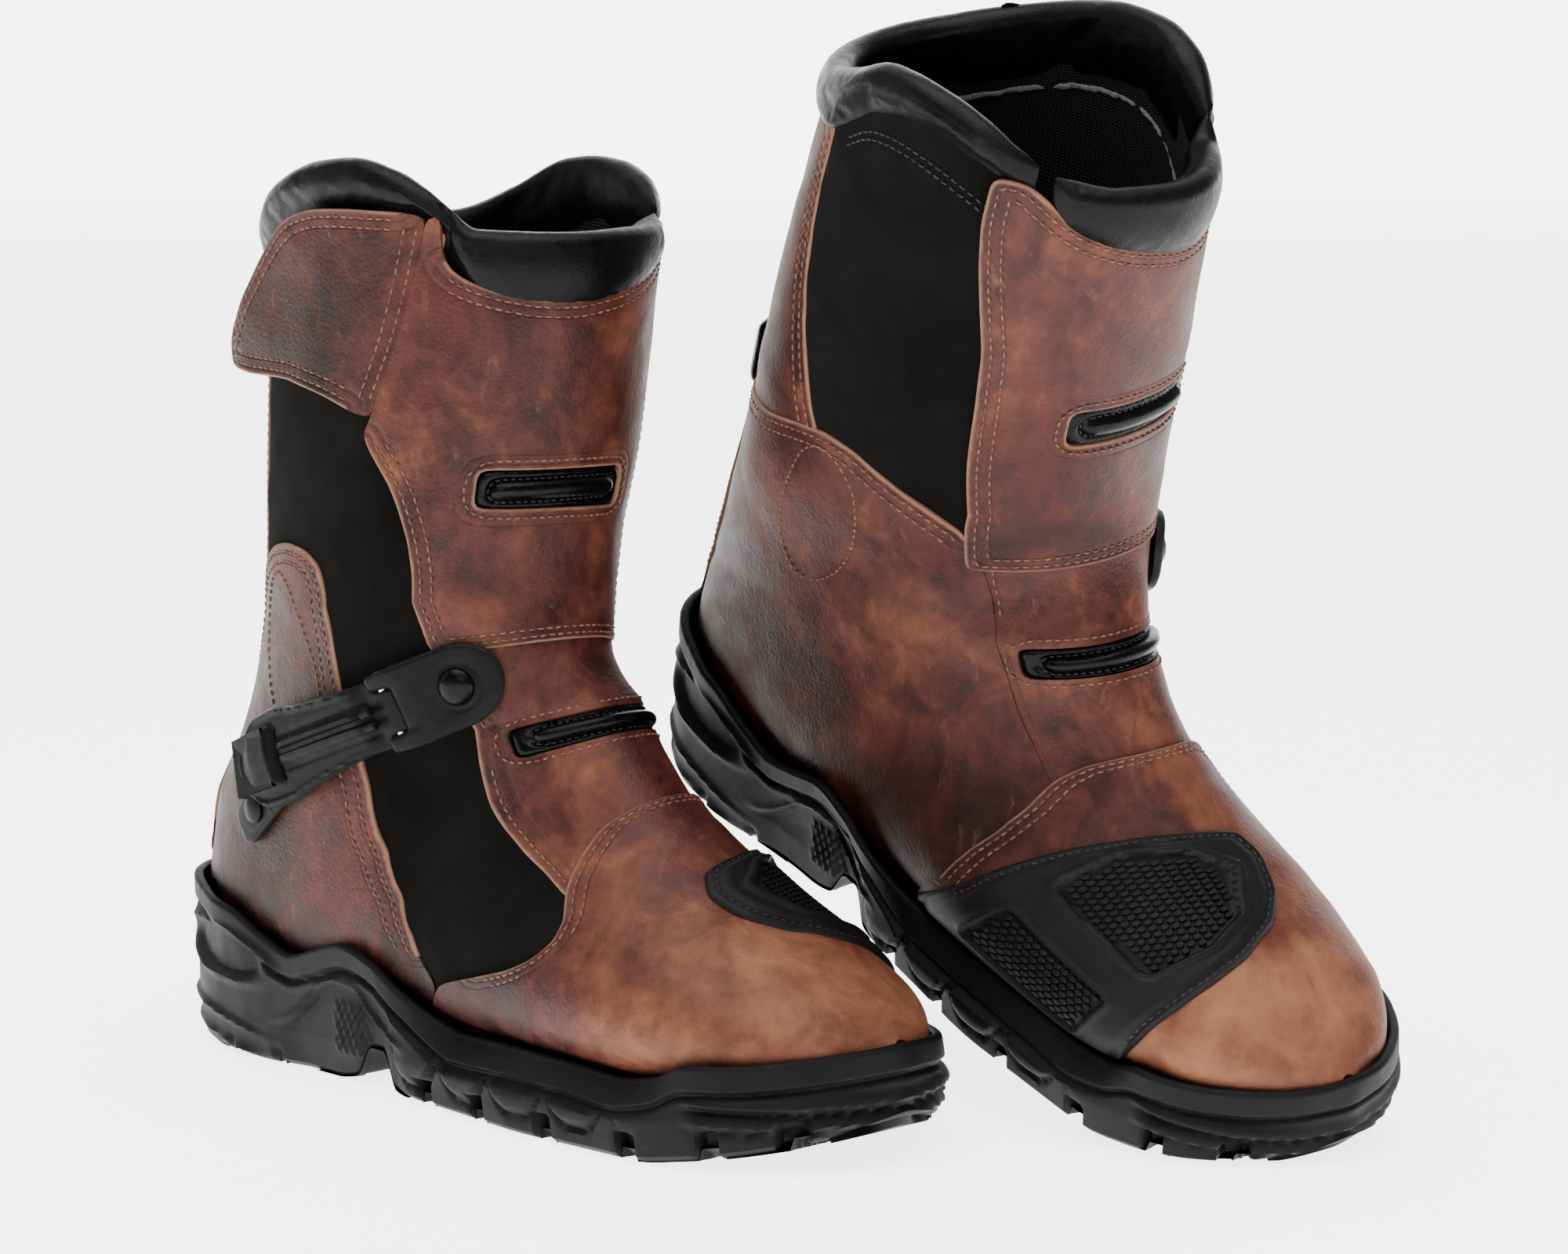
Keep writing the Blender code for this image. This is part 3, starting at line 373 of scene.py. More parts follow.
def tube(path, radius):
    """Closed eight-sided tube along local points; radius may vary."""
    sides = 8
    path = np.asarray(path, float)
    tangent = np.gradient(path, axis=0)
    tangent /= np.linalg.norm(tangent, axis=1, keepdims=True)
    up = np.cross(tangent, [0.31, 0.22, 0.93])
    up /= np.linalg.norm(up, axis=1, keepdims=True)
    other = np.cross(tangent, up)
    r = np.broadcast_to(radius, len(path))[:, None, None]
    a = np.linspace(0, 2 * math.pi, sides, endpoint=False)
    pts = path[:, None] + r * (np.cos(a)[None, :, None] * up[:, None] + np.sin(a)[None, :, None]
                               * other[:, None])
    faces = grid_faces(len(path), sides)
    faces += [list(range(sides))[::-1], [(len(path) - 1) * sides + k for k in range(sides)]]
    return {"points": pts.reshape(-1, 3), "faces": faces}


def turned(profile, base, axis, count=32):
    """Solid of revolution: (radius, height) from the bottom to the top, on a local axis."""
    axis = np.array(axis, float) / np.linalg.norm(axis)
    side = np.cross(axis, (0, 0, 1) if abs(axis[2]) < 0.9 else (1, 0, 0))
    side /= np.linalg.norm(side)
    other = np.cross(axis, side)
    a = np.arange(count) * 2 * math.pi / count
    ring = np.cos(a)[:, None] * side + np.sin(a)[:, None] * other
    pts = np.vstack([base + axis * h + ring * r for r, h in profile])
    faces = grid_faces(len(profile), count)
    last = (len(profile) - 1) * count
    faces += [list(range(count))[::-1], list(range(last, last + count))]
    return {"points": pts, "faces": faces}


def joined(*parts):
    base, points, faces, edge, flats = 0, [], [], [], []
    for part in parts:
        n = len(part["points"])
        points.append(part["points"])
        faces += [[i + base for i in f] for f in part["faces"]]
        edge.append(part.get("edge", np.full(n, 99.0)))
        flats.append(part.get("flat", np.zeros((n, 2))))
        base += n
    return {"points": np.vstack(points), "faces": faces, "edge": np.concatenate(edge),
            "flat": np.vstack(flats)}


# ---- buckle coordinates: s along a path, w across it, h above the boot ------------------------
class Track:
    def __init__(self, path):
        pts = flat(path)
        pts = ease(resample(pts, 0.5, False), 60, False)
        t, th = angles(pts)
        self.p, self.n = surf(t, th), normal(t, th)
        d = np.gradient(self.p, axis=0)
        d -= self.n * (d * self.n).sum(1, keepdims=True)
        self.d = d / np.linalg.norm(d, axis=1, keepdims=True)
        self.s = np.concatenate([[0], np.cumsum(np.linalg.norm(np.diff(self.p, axis=0), axis=1))])

    def at(self, s):
        s = np.asarray(s, float)
        q = np.clip(s, self.s[0], self.s[-1])
        p, d, n = [np.stack([np.interp(q, self.s, v[:, k]) for k in range(3)], -1)
                   for v in (self.p, self.d, self.n)]
        d = d / np.linalg.norm(d, axis=-1, keepdims=True)
        n = n / np.linalg.norm(n, axis=-1, keepdims=True)
        return p + d * (s - q)[..., None], d, n

    def __call__(self, xy, h):
        p, d, n = self.at(xy[..., 0])
        return p + np.cross(n, d) * xy[..., 1, None] + n * np.asarray(h, float)[..., None]


def cad_frame(path, s):
    """The CAD part's own frame at distance s along a path, for the shared pivots."""
    def row_point(u):
        pts = np.array(path, float)
        steps = np.hypot(np.diff(pts[:, 0]) * T_MM, np.diff(pts[:, 1]) * CAD_TH_MM)
        c = np.concatenate([[0], np.cumsum(steps)])
        return np.array([np.interp(u * c[-1], c, pts[:, k]) for k in (0, 1)])
    us = np.linspace(0, 1, 80)
    params = np.array([row_point(u) for u in us])
    points = surf(params[:, 0], params[:, 1])
    length = np.concatenate([[0], np.cumsum(np.linalg.norm(np.diff(points, axis=0), axis=1))])
    u = np.interp(s, length, us)
    t, th = row_point(u)
    n = normal(t, th)
    d = surf(*row_point(min(u + 0.03, 1.0))) - surf(*row_point(max(u - 0.03, 0.0)))
    d -= n * (d @ n)
    d /= np.linalg.norm(d)
    return surf(t, th), d, np.cross(n, d), n


# ---- where each boot stands -------------------------------------------------------------------
JOINTS = {j["name"]: j for j in frame["joints"]}
tab_point, _, _, tab_normal = cad_frame(BUCKLE_PATH, 13.0)
ORIGIN = Vector(np.array(JOINTS["right_tab_swivel"]["pos_m"])
                - (tab_point + tab_normal * 7.0) * 0.001)
SWING = (Matrix.Translation(Vector(LEFT_SHIFT) * 0.001)
         @ Matrix.Translation((0.150, 0, 0)) @ Matrix.Rotation(math.radians(LEFT_ANGLE), 4, "Z")
         @ Matrix.Translation((-0.150, 0, 0)) @ Matrix.Translation((0.300, 0, 0))
         @ Matrix.Rotation(math.radians(-LEFT_ROLL), 4, "X")
         @ Matrix.Rotation(math.radians(LEFT_PITCH), 4, "Y") @ Matrix.Translation((-0.300, 0, 0)))
PLACE = {"right": Matrix.Translation(ORIGIN),
         "left": Matrix.Translation(ORIGIN) @ SWING @ Matrix.Scale(-1, 4, (0, 1, 0))}


def put(name, part, material, body="boot", replaces=(), sharp=40, tone_and_light=None,
        level=0):
    """One piece on each boot."""
    made = []
    pts = np.asarray(part["points"], float) * 0.001
    for side in ("right", "left"):
        m = np.array(PLACE[side])
        world = pts @ m[:3, :3].T + m[:3, 3]
        faces = part["faces"] if side == "right" else [f[::-1] for f in part["faces"]]
        mesh = bpy.data.meshes.new(f"{side}_{name}")
        mesh.from_pydata(world.tolist(), [], faces)
        for key, kind in (("edge", "FLOAT"), ("flat", "FLOAT_VECTOR"), ("tone_and_light", "FLOAT")):
            if key == "tone_and_light":
                value = np.zeros(len(pts)) if tone_and_light is None else tone_and_light(part["points"])
            elif key in part:
                value = part[key]
            else:
                continue
            layer = mesh.attributes.new(key, kind, "POINT")
            if kind == "FLOAT_VECTOR":
                value = np.hstack([value, np.zeros((len(value), 1))])
                layer.data.foreach_set("vector", value.astype(np.float32).ravel())
            else:
                layer.data.foreach_set("value", np.asarray(value, np.float32))
        mesh.shade_smooth()
        mesh.set_sharp_from_angle(angle=math.radians(sharp))
        mesh.materials.append(material)
        obj = bpy.data.objects.new(f"{side}_{name}", mesh)
        bpy.context.scene.collection.objects.link(obj)
        if level:
            mod = obj.modifiers.new("smooth", "SUBSURF")
            mod.levels = mod.render_levels = level
        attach(obj, f"{side}_{body}")
        if replaces:
            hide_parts(*[f"{side}_{n}" for n in replaces])
        made.append(obj)
    return made


# ---- stitches --------------------------------------------------------------------------------
THREADS = {}
RING = [(-1.0, 0.05), (-0.90, 0.66), (-0.5, 1.0), (0.5, 1.0), (0.90, 0.66), (1.0, 0.05)]


def stitch(curve, level, place=on_boot, body="boot", thread="tan", pitch=3.1, gap=0.95,
           radius=0.36, closed=False):
    """Row of single stitches along a flat curve, level mm above the place."""
    if closed:
        curve = np.vstack([curve, curve[:1]])
    if len(curve) < 4:
        return
    h = level(curve) if callable(level) else np.full(len(curve), float(level))
    p = place(curve, h)
    n = place(curve, h + 1.0) - p
    s = np.concatenate([[0], np.cumsum(np.linalg.norm(np.diff(p, axis=0), axis=1))])
    count = int(s[-1] / pitch)
    if count < 1:
        return
    starts = (s[-1] - count * pitch) / 2 + np.arange(count) * pitch + gap / 2

    def at(values, q):
        return np.stack([np.interp(q, s, values[:, k]) for k in range(3)], -1)

    a, b, up = at(p, starts), at(p, starts + pitch - gap), at(n, starts + (pitch - gap) / 2)
    up /= np.linalg.norm(up, axis=1, keepdims=True)
    axis = (b - a) / 2
    side = np.cross(axis, up)
    side /= np.maximum(np.linalg.norm(side, axis=1, keepdims=True), 1e-9)
    jitter = 0.10 * np.sin(np.arange(count) * 2.399 + 1.7 * len(curve))
    axis = axis + side * jitter[:, None]
    rings = []
    for along, r in RING:
        for k in range(6):
            ang = k * math.pi / 3
            rings.append((a + b) / 2 + axis * along + radius * r * (math.cos(ang) * side
                         + math.sin(ang) * up) - up * radius * 0.9 * along ** 4)
    pts = np.stack(rings, 1)
    base = [[i * 6 + k, i * 6 + (k + 1) % 6, (i + 1) * 6 + (k + 1) % 6, (i + 1) * 6 + k]
            for i in range(5) for k in range(6)] + [[0, 5, 4, 3, 2, 1], [30, 31, 32, 33, 34, 35]]
    THREADS.setdefault((body, thread), []).append((pts, base))


def run_stitch(c, d, level, keep=None, clear=(), **kw):
    """Stitch row at distance d inside a closed outline, where keep(xy) holds."""
    ring = inset(c, d)
    closed = np.vstack([c, c[:1]])
    ok = distance(ring, closed) > 0.96 * abs(d)
    if keep is not None:
        ok &= np.array([keep(p) for p in ring])
    for other in clear:
        ok &= ~inside(ring, other)
    if ok.all():
        stitch(ease(ring, 2, True), level, closed=True, **kw)
        return
    start = int(np.argmin(ok))
    order = np.roll(np.arange(len(ring)), -start)
    run = []
    for i in order:
        if ok[i]:
            run.append(ring[i])
        elif run:
            stitch(np.array(run), level, **kw)
            run = []
    if run:
        stitch(np.array(run), level, **kw)


def sew_everything(materials):
    for (body, thread), rows in THREADS.items():
        points, faces, base = [], [], 0
        for pts, template in rows:
            for one in pts:
                points.append(one)
                faces += [[i + base for i in f] for f in template]
                base += len(one)
        part = {"points": np.vstack(points), "faces": faces}
        put(f"stitches_{thread}_{body}", part, materials[thread],
            body, sharp=70)


# ---- materials -------------------------------------------------------------------------------
class Nodes:
    """Short way to write a node tree: each call makes a node and returns its first output."""

    def __init__(self, name, **sockets):
        self.material = bpy.data.materials.new(name)
        self.material.use_nodes = True
        self.tree = self.material.node_tree
        self.shader = self.tree.nodes["Principled BSDF"]
        for key, value in sockets.items():
            self.shader.inputs[key.replace("_", " ")].default_value = value
        self.coords = self.add("ShaderNodeTexCoord").outputs["Object"]

    def add(self, kind, inputs=None, **props):
        node = self.tree.nodes.new(kind)
        for key, value in props.items():
            setattr(node, key, value)
        for key, value in (inputs or {}).items():
            socket = node.inputs[key]
            if isinstance(value, bpy.types.NodeSocket):
                self.tree.links.new(value, socket)
            else:
                socket.default_value = value
        return node

    def noise(self, scale, detail=3.0, rough=0.55, vector=None, distortion=0.0):
        return self.add("ShaderNodeTexNoise", {
            "Vector": vector or self.coords, "Scale": scale, "Detail": detail,
            "Roughness": rough, "Distortion": distortion}).outputs["Fac"]

    def voronoi(self, scale):
        return self.add("ShaderNodeTexVoronoi",
                        {"Vector": self.coords, "Scale": scale}).outputs["Distance"]

    def stretched(self, sx, sy, sz, rx=0.0, ry=0.0):
        return self.add("ShaderNodeMapping", {"Vector": self.coords, "Scale": (sx, sy, sz),
                                              "Rotation": (rx, ry, 0.0)}).outputs[0]

    def math(self, op, a, b=0.0, clamp=False):
        return self.add("ShaderNodeMath", {0: a, 1: b}, operation=op, use_clamp=clamp).outputs[0]

    def span(self, value, lo, hi, to_lo=0.0, to_hi=1.0):
        return self.add("ShaderNodeMapRange", {
            "Value": value, "From Min": lo, "From Max": hi, "To Min": to_lo, "To Max": to_hi},
            interpolation_type="SMOOTHSTEP").outputs[0]

    def ramp(self, value, stops):
        node = self.add("ShaderNodeValToRGB", {"Fac": value})
        while len(node.color_ramp.elements) < len(stops):
            node.color_ramp.elements.new(0.5)
        for element, (pos, colour) in zip(node.color_ramp.elements, stops):
            element.position = pos
            element.color = (*colour, 1)
        return node.outputs["Color"]

    def mix(self, factor, a, b):
        node = self.add("ShaderNodeMix", {"Factor": factor}, data_type="RGBA")
        for socket, value in ((node.inputs[6], a), (node.inputs[7], b)):
            if isinstance(value, bpy.types.NodeSocket):
                self.tree.links.new(value, socket)
            else:
                socket.default_value = (*value, 1)
        return node.outputs[2]

    def attribute(self, name, output="Fac"):
        return self.add("ShaderNodeAttribute", attribute_name=name).outputs[output]

    def colour(self, value):
        self.tree.links.new(value, self.shader.inputs["Base Color"])

    def rough(self, value):
        self.tree.links.new(value, self.shader.inputs["Roughness"])

    def relief(self, *layers):
        """Bump layers (height, strength, distance in metres), stacked."""
        last = None
        for height, strength, size in layers:
            node = self.add("ShaderNodeBump", {"Height": height, "Strength": strength,
                                               "Distance": size})
            if last is not None:
                self.tree.links.new(last, node.inputs["Normal"])
            last = node.outputs[0]
        self.tree.links.new(last, self.shader.inputs["Normal"])


def scaled(colour, factor):
    return tuple(c * factor for c in colour)


def make_leather():
    m = Nodes("leather_brown", Specular_IOR_Level=0.17)
    edge, tone_and_light = m.attribute("edge"), m.attribute("tone_and_light")
    cloud = m.noise(19, 4, 0.6, distortion=0.6)
    patch = m.noise(46, 5, 0.62, distortion=1.0)
    fine = m.noise(210, 4, 0.6)
    value = m.math("ADD", m.math("MULTIPLY", cloud, 0.52), m.math("MULTIPLY", patch, 0.36))
    value = m.math("ADD", value, m.math("MULTIPLY", fine, 0.12))
    # painted light: this adds each panel's tone and the lighter, lit toe to the colour
    value = m.math("ADD", value, m.math("MULTIPLY", tone_and_light, 0.22))
    colour = m.ramp(value, [(0.34, (0.0075, 0.0018, 0.0012)), (0.44, (0.024, 0.0052, 0.0034)),
                            (0.52, (0.050, 0.0128, 0.0076)), (0.61, (0.100, 0.031, 0.0165)),
                            (0.78, (0.215, 0.085, 0.042))])
    red = m.span(m.noise(31, 4, 0.6, m.stretched(1, 1, 0.6, 0.4), 0.8), 0.52, 0.70)
    colour = m.mix(m.math("MULTIPLY", red, 0.45), colour, (0.062, 0.0095, 0.007))
    scuff = m.span(m.noise(70, 6, 0.75, m.stretched(3.2, 1.0, 1.1, 0.5, 0.9), 0.5), 0.57, 0.76)
    colour = m.mix(m.math("MULTIPLY", scuff, 0.26), colour, (0.25, 0.11, 0.06))
    worn = m.span(m.math("ADD", edge, m.math("MULTIPLY", fine, 1.3)), 0.75, 1.75, 1.0, 0.0)
    colour = m.mix(m.math("MULTIPLY", worn, 0.85), colour, (0.19, 0.098, 0.062))
    # painted shade: the two stitch channels are darkened where shade falls in them
    grooves = m.math("ADD", m.span(m.math("ABSOLUTE", m.math("SUBTRACT", edge, NEAR)), 0.2, 0.9,
                                   1.0, 0.0),
                     m.span(m.math("ABSOLUTE", m.math("SUBTRACT", edge, FAR)), 0.2, 0.9, 1.0, 0.0))
    colour = m.mix(m.math("MULTIPLY", grooves, 0.35, True), colour, (0.035, 0.011, 0.008))
    m.colour(colour)
    m.rough(m.math("ADD", m.span(patch, 0.3, 0.7, 0.46, 0.60), m.math("MULTIPLY", worn, 0.3)))
    grain = m.voronoi(780)
    m.relief((m.noise(120, 4, 0.6), 0.35, 0.0008), (grain, 0.35, 0.00035),
             (m.noise(1500, 3, 0.7), 0.5, 0.00018),
             (m.math("MULTIPLY", grooves, -1.0), 0.5, 0.0004))
    return m.material


def make_suede():
    m = Nodes("suede_black", Roughness=1.0, Specular_IOR_Level=0.0, Sheen_Weight=0.02,
              Sheen_Roughness=0.6)
    cloud = m.noise(26, 4, 0.6)
    m.colour(m.ramp(cloud, [(0.3, (0.0016, 0.0015, 0.0013)), (0.7, (0.0046, 0.0042, 0.0036))]))
    m.relief((cloud, 0.3, 0.001), (m.noise(900, 4, 0.7), 0.6, 0.0003))
    return m.material


def make_satin(name, rough, colour, grain=0.3):
    m = Nodes(name, Specular_IOR_Level=0.09)
    dust = m.noise(60, 4, 0.6)
    m.colour(m.ramp(dust, [(0.3, scaled(colour, 0.3)), (0.75, scaled(colour, 0.75))]))
    m.rough(m.span(m.noise(240, 3, 0.6), 0.3, 0.7, rough, rough + 0.13))
    m.relief((m.noise(150, 4, 0.6), 0.25, 0.0006), (m.voronoi(1100), grain, 0.0002),
             (m.noise(2200, 2, 0.6), 0.3, 0.0001))
    return m.material


def make_rubber(name, rough, colour):
    m = Nodes(name, Specular_IOR_Level=0.10)
    dust = m.noise(34, 6, 0.7, distortion=0.5)
    scuff = m.span(m.noise(160, 6, 0.75, m.stretched(1, 1, 3.5)), 0.58, 0.78)
    base = m.ramp(dust, [(0.3, scaled(colour, 0.5)), (0.72, scaled(colour, 1.2))])
    m.colour(m.mix(m.math("MULTIPLY", scuff, 0.35), base, (0.030, 0.028, 0.026)))
    m.rough(m.span(dust, 0.3, 0.7, rough, rough + 0.16))
    m.relief((m.noise(900, 4, 0.7), 0.4, 0.00025), (m.noise(90, 4, 0.6), 0.2, 0.0006))
    return m.material


def make_plastic():
    m = Nodes("plastic_black", Specular_IOR_Level=0.07)
    edge = m.attribute("edge")
    speck = m.noise(700, 4, 0.7)
    worn = m.span(m.math("ADD", edge, m.math("MULTIPLY", speck, 0.9)), 0.45, 1.0, 1.0, 0.0)
    base = m.ramp(m.noise(90, 5, 0.7), [(0.3, (0.0015, 0.0015, 0.0017)),
                                        (0.7, (0.0045, 0.0045, 0.0050))])
    m.colour(m.mix(m.math("MULTIPLY", worn, 0.06), base, (0.12, 0.115, 0.11)))
    m.rough(m.span(m.noise(260, 4, 0.6), 0.3, 0.7, 0.40, 0.55))
    m.relief((speck, 0.3, 0.0001), (m.noise(60, 3, 0.5), 0.15, 0.0004))
    return m.material


def make_metal(name, colour, rough):
    m = Nodes(name, Metallic=1.0)
    m.colour(m.ramp(m.noise(300, 5, 0.7), [(0.3, scaled(colour, 0.7)), (0.7, colour)]))
    m.rough(m.span(m.noise(500, 4, 0.6), 0.3, 0.7, rough, rough + 0.18))
    m.relief((m.noise(900, 3, 0.6), 0.15, 0.0001),)
    return m.material


def make_thread(name, dark, light):
    m = Nodes(name, Roughness=0.75, Specular_IOR_Level=0.3)
    m.colour(m.ramp(m.noise(420, 3, 0.7), [(0.35, dark), (0.65, light)]))
    twist = m.add("ShaderNodeTexWave", {"Vector": m.coords, "Scale": 900.0, "Distortion": 2.0},
                  bands_direction="DIAGONAL").outputs["Fac"]
    m.relief((twist, 0.6, 0.0001),)
    return m.material


def make_weave(name, dark, light):
    """Open knitted mesh: two crossing rows of yarn, from the flat coordinate in mm."""
    m = Nodes(name, Roughness=0.85, Specular_IOR_Level=0.2)
    vec = m.attribute("flat", "Vector")
    bands = []
    for axis in ("X", "Y"):
        bands.append(m.add("ShaderNodeTexWave", {"Vector": vec, "Scale": 0.314 / YARN_PITCH,
                     "Distortion": 0.25, "Detail": 1.0}, bands_direction=axis).outputs["Fac"])
    height = m.math("MULTIPLY", bands[0], bands[1])
    m.colour(m.ramp(height, [(0.08, dark), (0.7, light)]))
    m.relief((height, 0.9, 0.0005), (m.noise(1400, 3, 0.7), 0.3, 0.0002))
    return m.material


def make_fuzz(name, dark, light):
    m = Nodes(name, Roughness=0.95, Specular_IOR_Level=0.15, Sheen_Weight=0.25)
    n = m.noise(700, 5, 0.8)
    m.colour(m.ramp(n, [(0.35, dark), (0.7, light)]))
    m.relief((n, 1.0, 0.0008), (m.voronoi(1600), 0.5, 0.0003))
    return m.material


LEATHER_MAT = make_leather()
SUEDE = make_suede()
COLLAR_MAT = make_satin("faux_leather_collar", 0.34, (0.0032, 0.0032, 0.0035))
INSERT_MAT = make_satin("faux_leather_insert", 0.20, (0.0025, 0.0025, 0.0028), 0.2)
RUBBER = make_rubber("rubber_sole", 0.52, (0.0036, 0.0034, 0.0034))
PAD_MAT = make_rubber("rubber_pad", 0.42, (0.0065, 0.0058, 0.0056))
PLASTIC = make_plastic()
STEEL = make_metal("steel_dark", (0.30, 0.30, 0.31), 0.28)
STEEL_BRIGHT = make_metal("steel_bright", (0.62, 0.62, 0.63), 0.22)
BOARD = make_fuzz("board_fibre", (0.16, 0.11, 0.065), (0.30, 0.22, 0.14))
MESH = make_weave("mesh_lining", (0.0012, 0.0012, 0.0013), (0.010, 0.0095, 0.010))
VELCRO = make_fuzz("velcro_black", (0.002, 0.002, 0.002), (0.009, 0.009, 0.009))
LINT = make_fuzz("raw_seam_grey", (0.05, 0.047, 0.045), (0.22, 0.21, 0.20))
THREAD = {"tan": make_thread("thread_tan", (0.058, 0.023, 0.013), (0.165, 0.078, 0.044)),
          "black": make_thread("thread_black", (0.006, 0.006, 0.006), (0.022, 0.021, 0.021))}

# ---- leather outlines: (t, th), lateral positive ----------------------------------------------
FOLD = [(.170, 58.5), (.140, 55), (.110, 51.2), (.070, 47.5), (.045, 45.8), (.030, 45)]
SCOOP = [(.0275, 41), (.042, 40.3), (.056, 39.6), (.0657, 37), (.074, 30), (.080, 20), (.084, 8),
         (.084, -6), (.080, -16), (.074, -26), (.066, -36), (.055, -45), (.042, -53), (.034, -60),
         (.036, -69)]
SHIN_MEDIAL = [(.070, -69.5), (.100, -67.5), (.130, -64.5), (.165, -60.5), (.206, -59), (.26, -58),
               (.31, -56), (.352, -52)]
SHIN_BOTTOM = [(.351, -30), (.348, 0), (.345, 30), (.343, 42)]
SHIN_LATERAL = [(.320, 41), (.28, 40.2), (.253, 41.8), (.230, 46), (.214, 50), (.196, 56.5),
                (.182, 61)]
FLAP_EDGE = [(.0275, 52), (.027, 70), (.029, 82), (.036, 92), (.050, 101), (.070, 109), (.100, 118),
             (.125, 123), (.143, 121), (.146, 108), (.147, 90), (.155, 76), (.166, 66)]
WINDOW_UPPER = [(.203, 21.5), (.204, -31), (.234, -31), (.231, 21.5)]
WINDOW_LOWER = [(.429, 37), (.426, -34), (.457, -34), (.461, 37)]
VAMP_SEAM = [(.650, 106), (.662, 98), (.684, 84), (.692, 74), (.690, 63), (.676, 54.5),
             (.657, 49.5), (.640, 45.5), (.622, 40), (.600, 33), (.576, 25), (.562, 14),
             (.557, 3), (.556, -12),
             (.560, -24), (.575, -34), (.607, -46), (.630, -60), (.648, -78), (.660, -92)]
ARCH_LATERAL = [(.330, 180), (.332, 158), (.328, 142), (.312, 131), (.288, 126), (.268, 118),
                (.258, 107), (.255, 96), (.259, 85), (.270, 77.5), (.290, 74.5), (.320, 75),
                (.350, 76.5), (.387, 77.5), (.420, 76.5), (.450, 74.5), (.510, 73), (.560, 80),
                (.600, 91), (.640, 106), (.648, 112)]
ARCH_MEDIAL = [(.275, -180), (.274, -150), (.273, -130), (.266, -114), (.263, -102), (.269, -91),
               (.286, -79), (.303, -67), (.318, -56)]
QUARTER_FRONT = [(.34, -49), (.38, -42.5), (.413, -39.5), (.45, -38), (.53, -36), (.60, -36)]
BACK = back_hem()


def edge_at(condition):
    return lambda xy: condition(xy[0] / T_MM, xy[1] / TH_MM)


def leather_top(level, waves, seed):
    """Leather height: rounded edge, shallow stitch channels, slight unevenness inside."""
    base = rounded(level, 0.55)

    def height(xy, d):
        p = surf(*angles(xy))
        return base(xy, d) + waves * step(d, 5, 16) * wobble(p, 46, seed) \
            - CHANNEL * bump(d, NEAR, 0.9) - CHANNEL * bump(d, FAR, 0.9)
    return height


def below(level, thick=THICK):
    return lambda xy, d: np.full(len(xy), level - thick)


def tone_and_light_by(base, **more):
    """Tone of the leather with painted light: base, plus toe (painted light, lighter there) and top
    (lighter there), low (darker to the sole).
    """
    def tone_and_light(points):
        x, z = points[:, 0], points[:, 2]
        value = np.full(len(points), base, float)
        # painted light: lighter towards the toe, whose top faces the overhead lamp
        value += more.get("toe", 0) * step(x, 190, 275)
        value -= more.get("low", 0) * step(-z, -110, -45)
        value += more.get("top", 0) * step(z, 170, 260)
        return value
    return tone_and_light


RINGS = (0.45, 1.25, NEAR, 3.7, FAR, 7.0)


def leather(name, outline, level, bare, holes=(), replaces=(), body="boot", tone_and_light=None, waves=0.35,
            seed=0.0, clear=(), top=None, bottom=None):
    """Leather panel with its two stitch rows."""
    top = top or leather_top(level, waves, seed)
    part = solid(outline, top, bottom or below(level), holes=holes, bare=bare, rings=RINGS,
                 spacing=2.6)
    put(name, part, LEATHER_MAT, body, replaces, tone_and_light=tone_and_light)
    for d in (NEAR, FAR):
        run_stitch(outline, d, lambda xy: top(xy, np.full(len(xy), NEAR)) + 0.18, bare, body=body,
                   clear=clear)


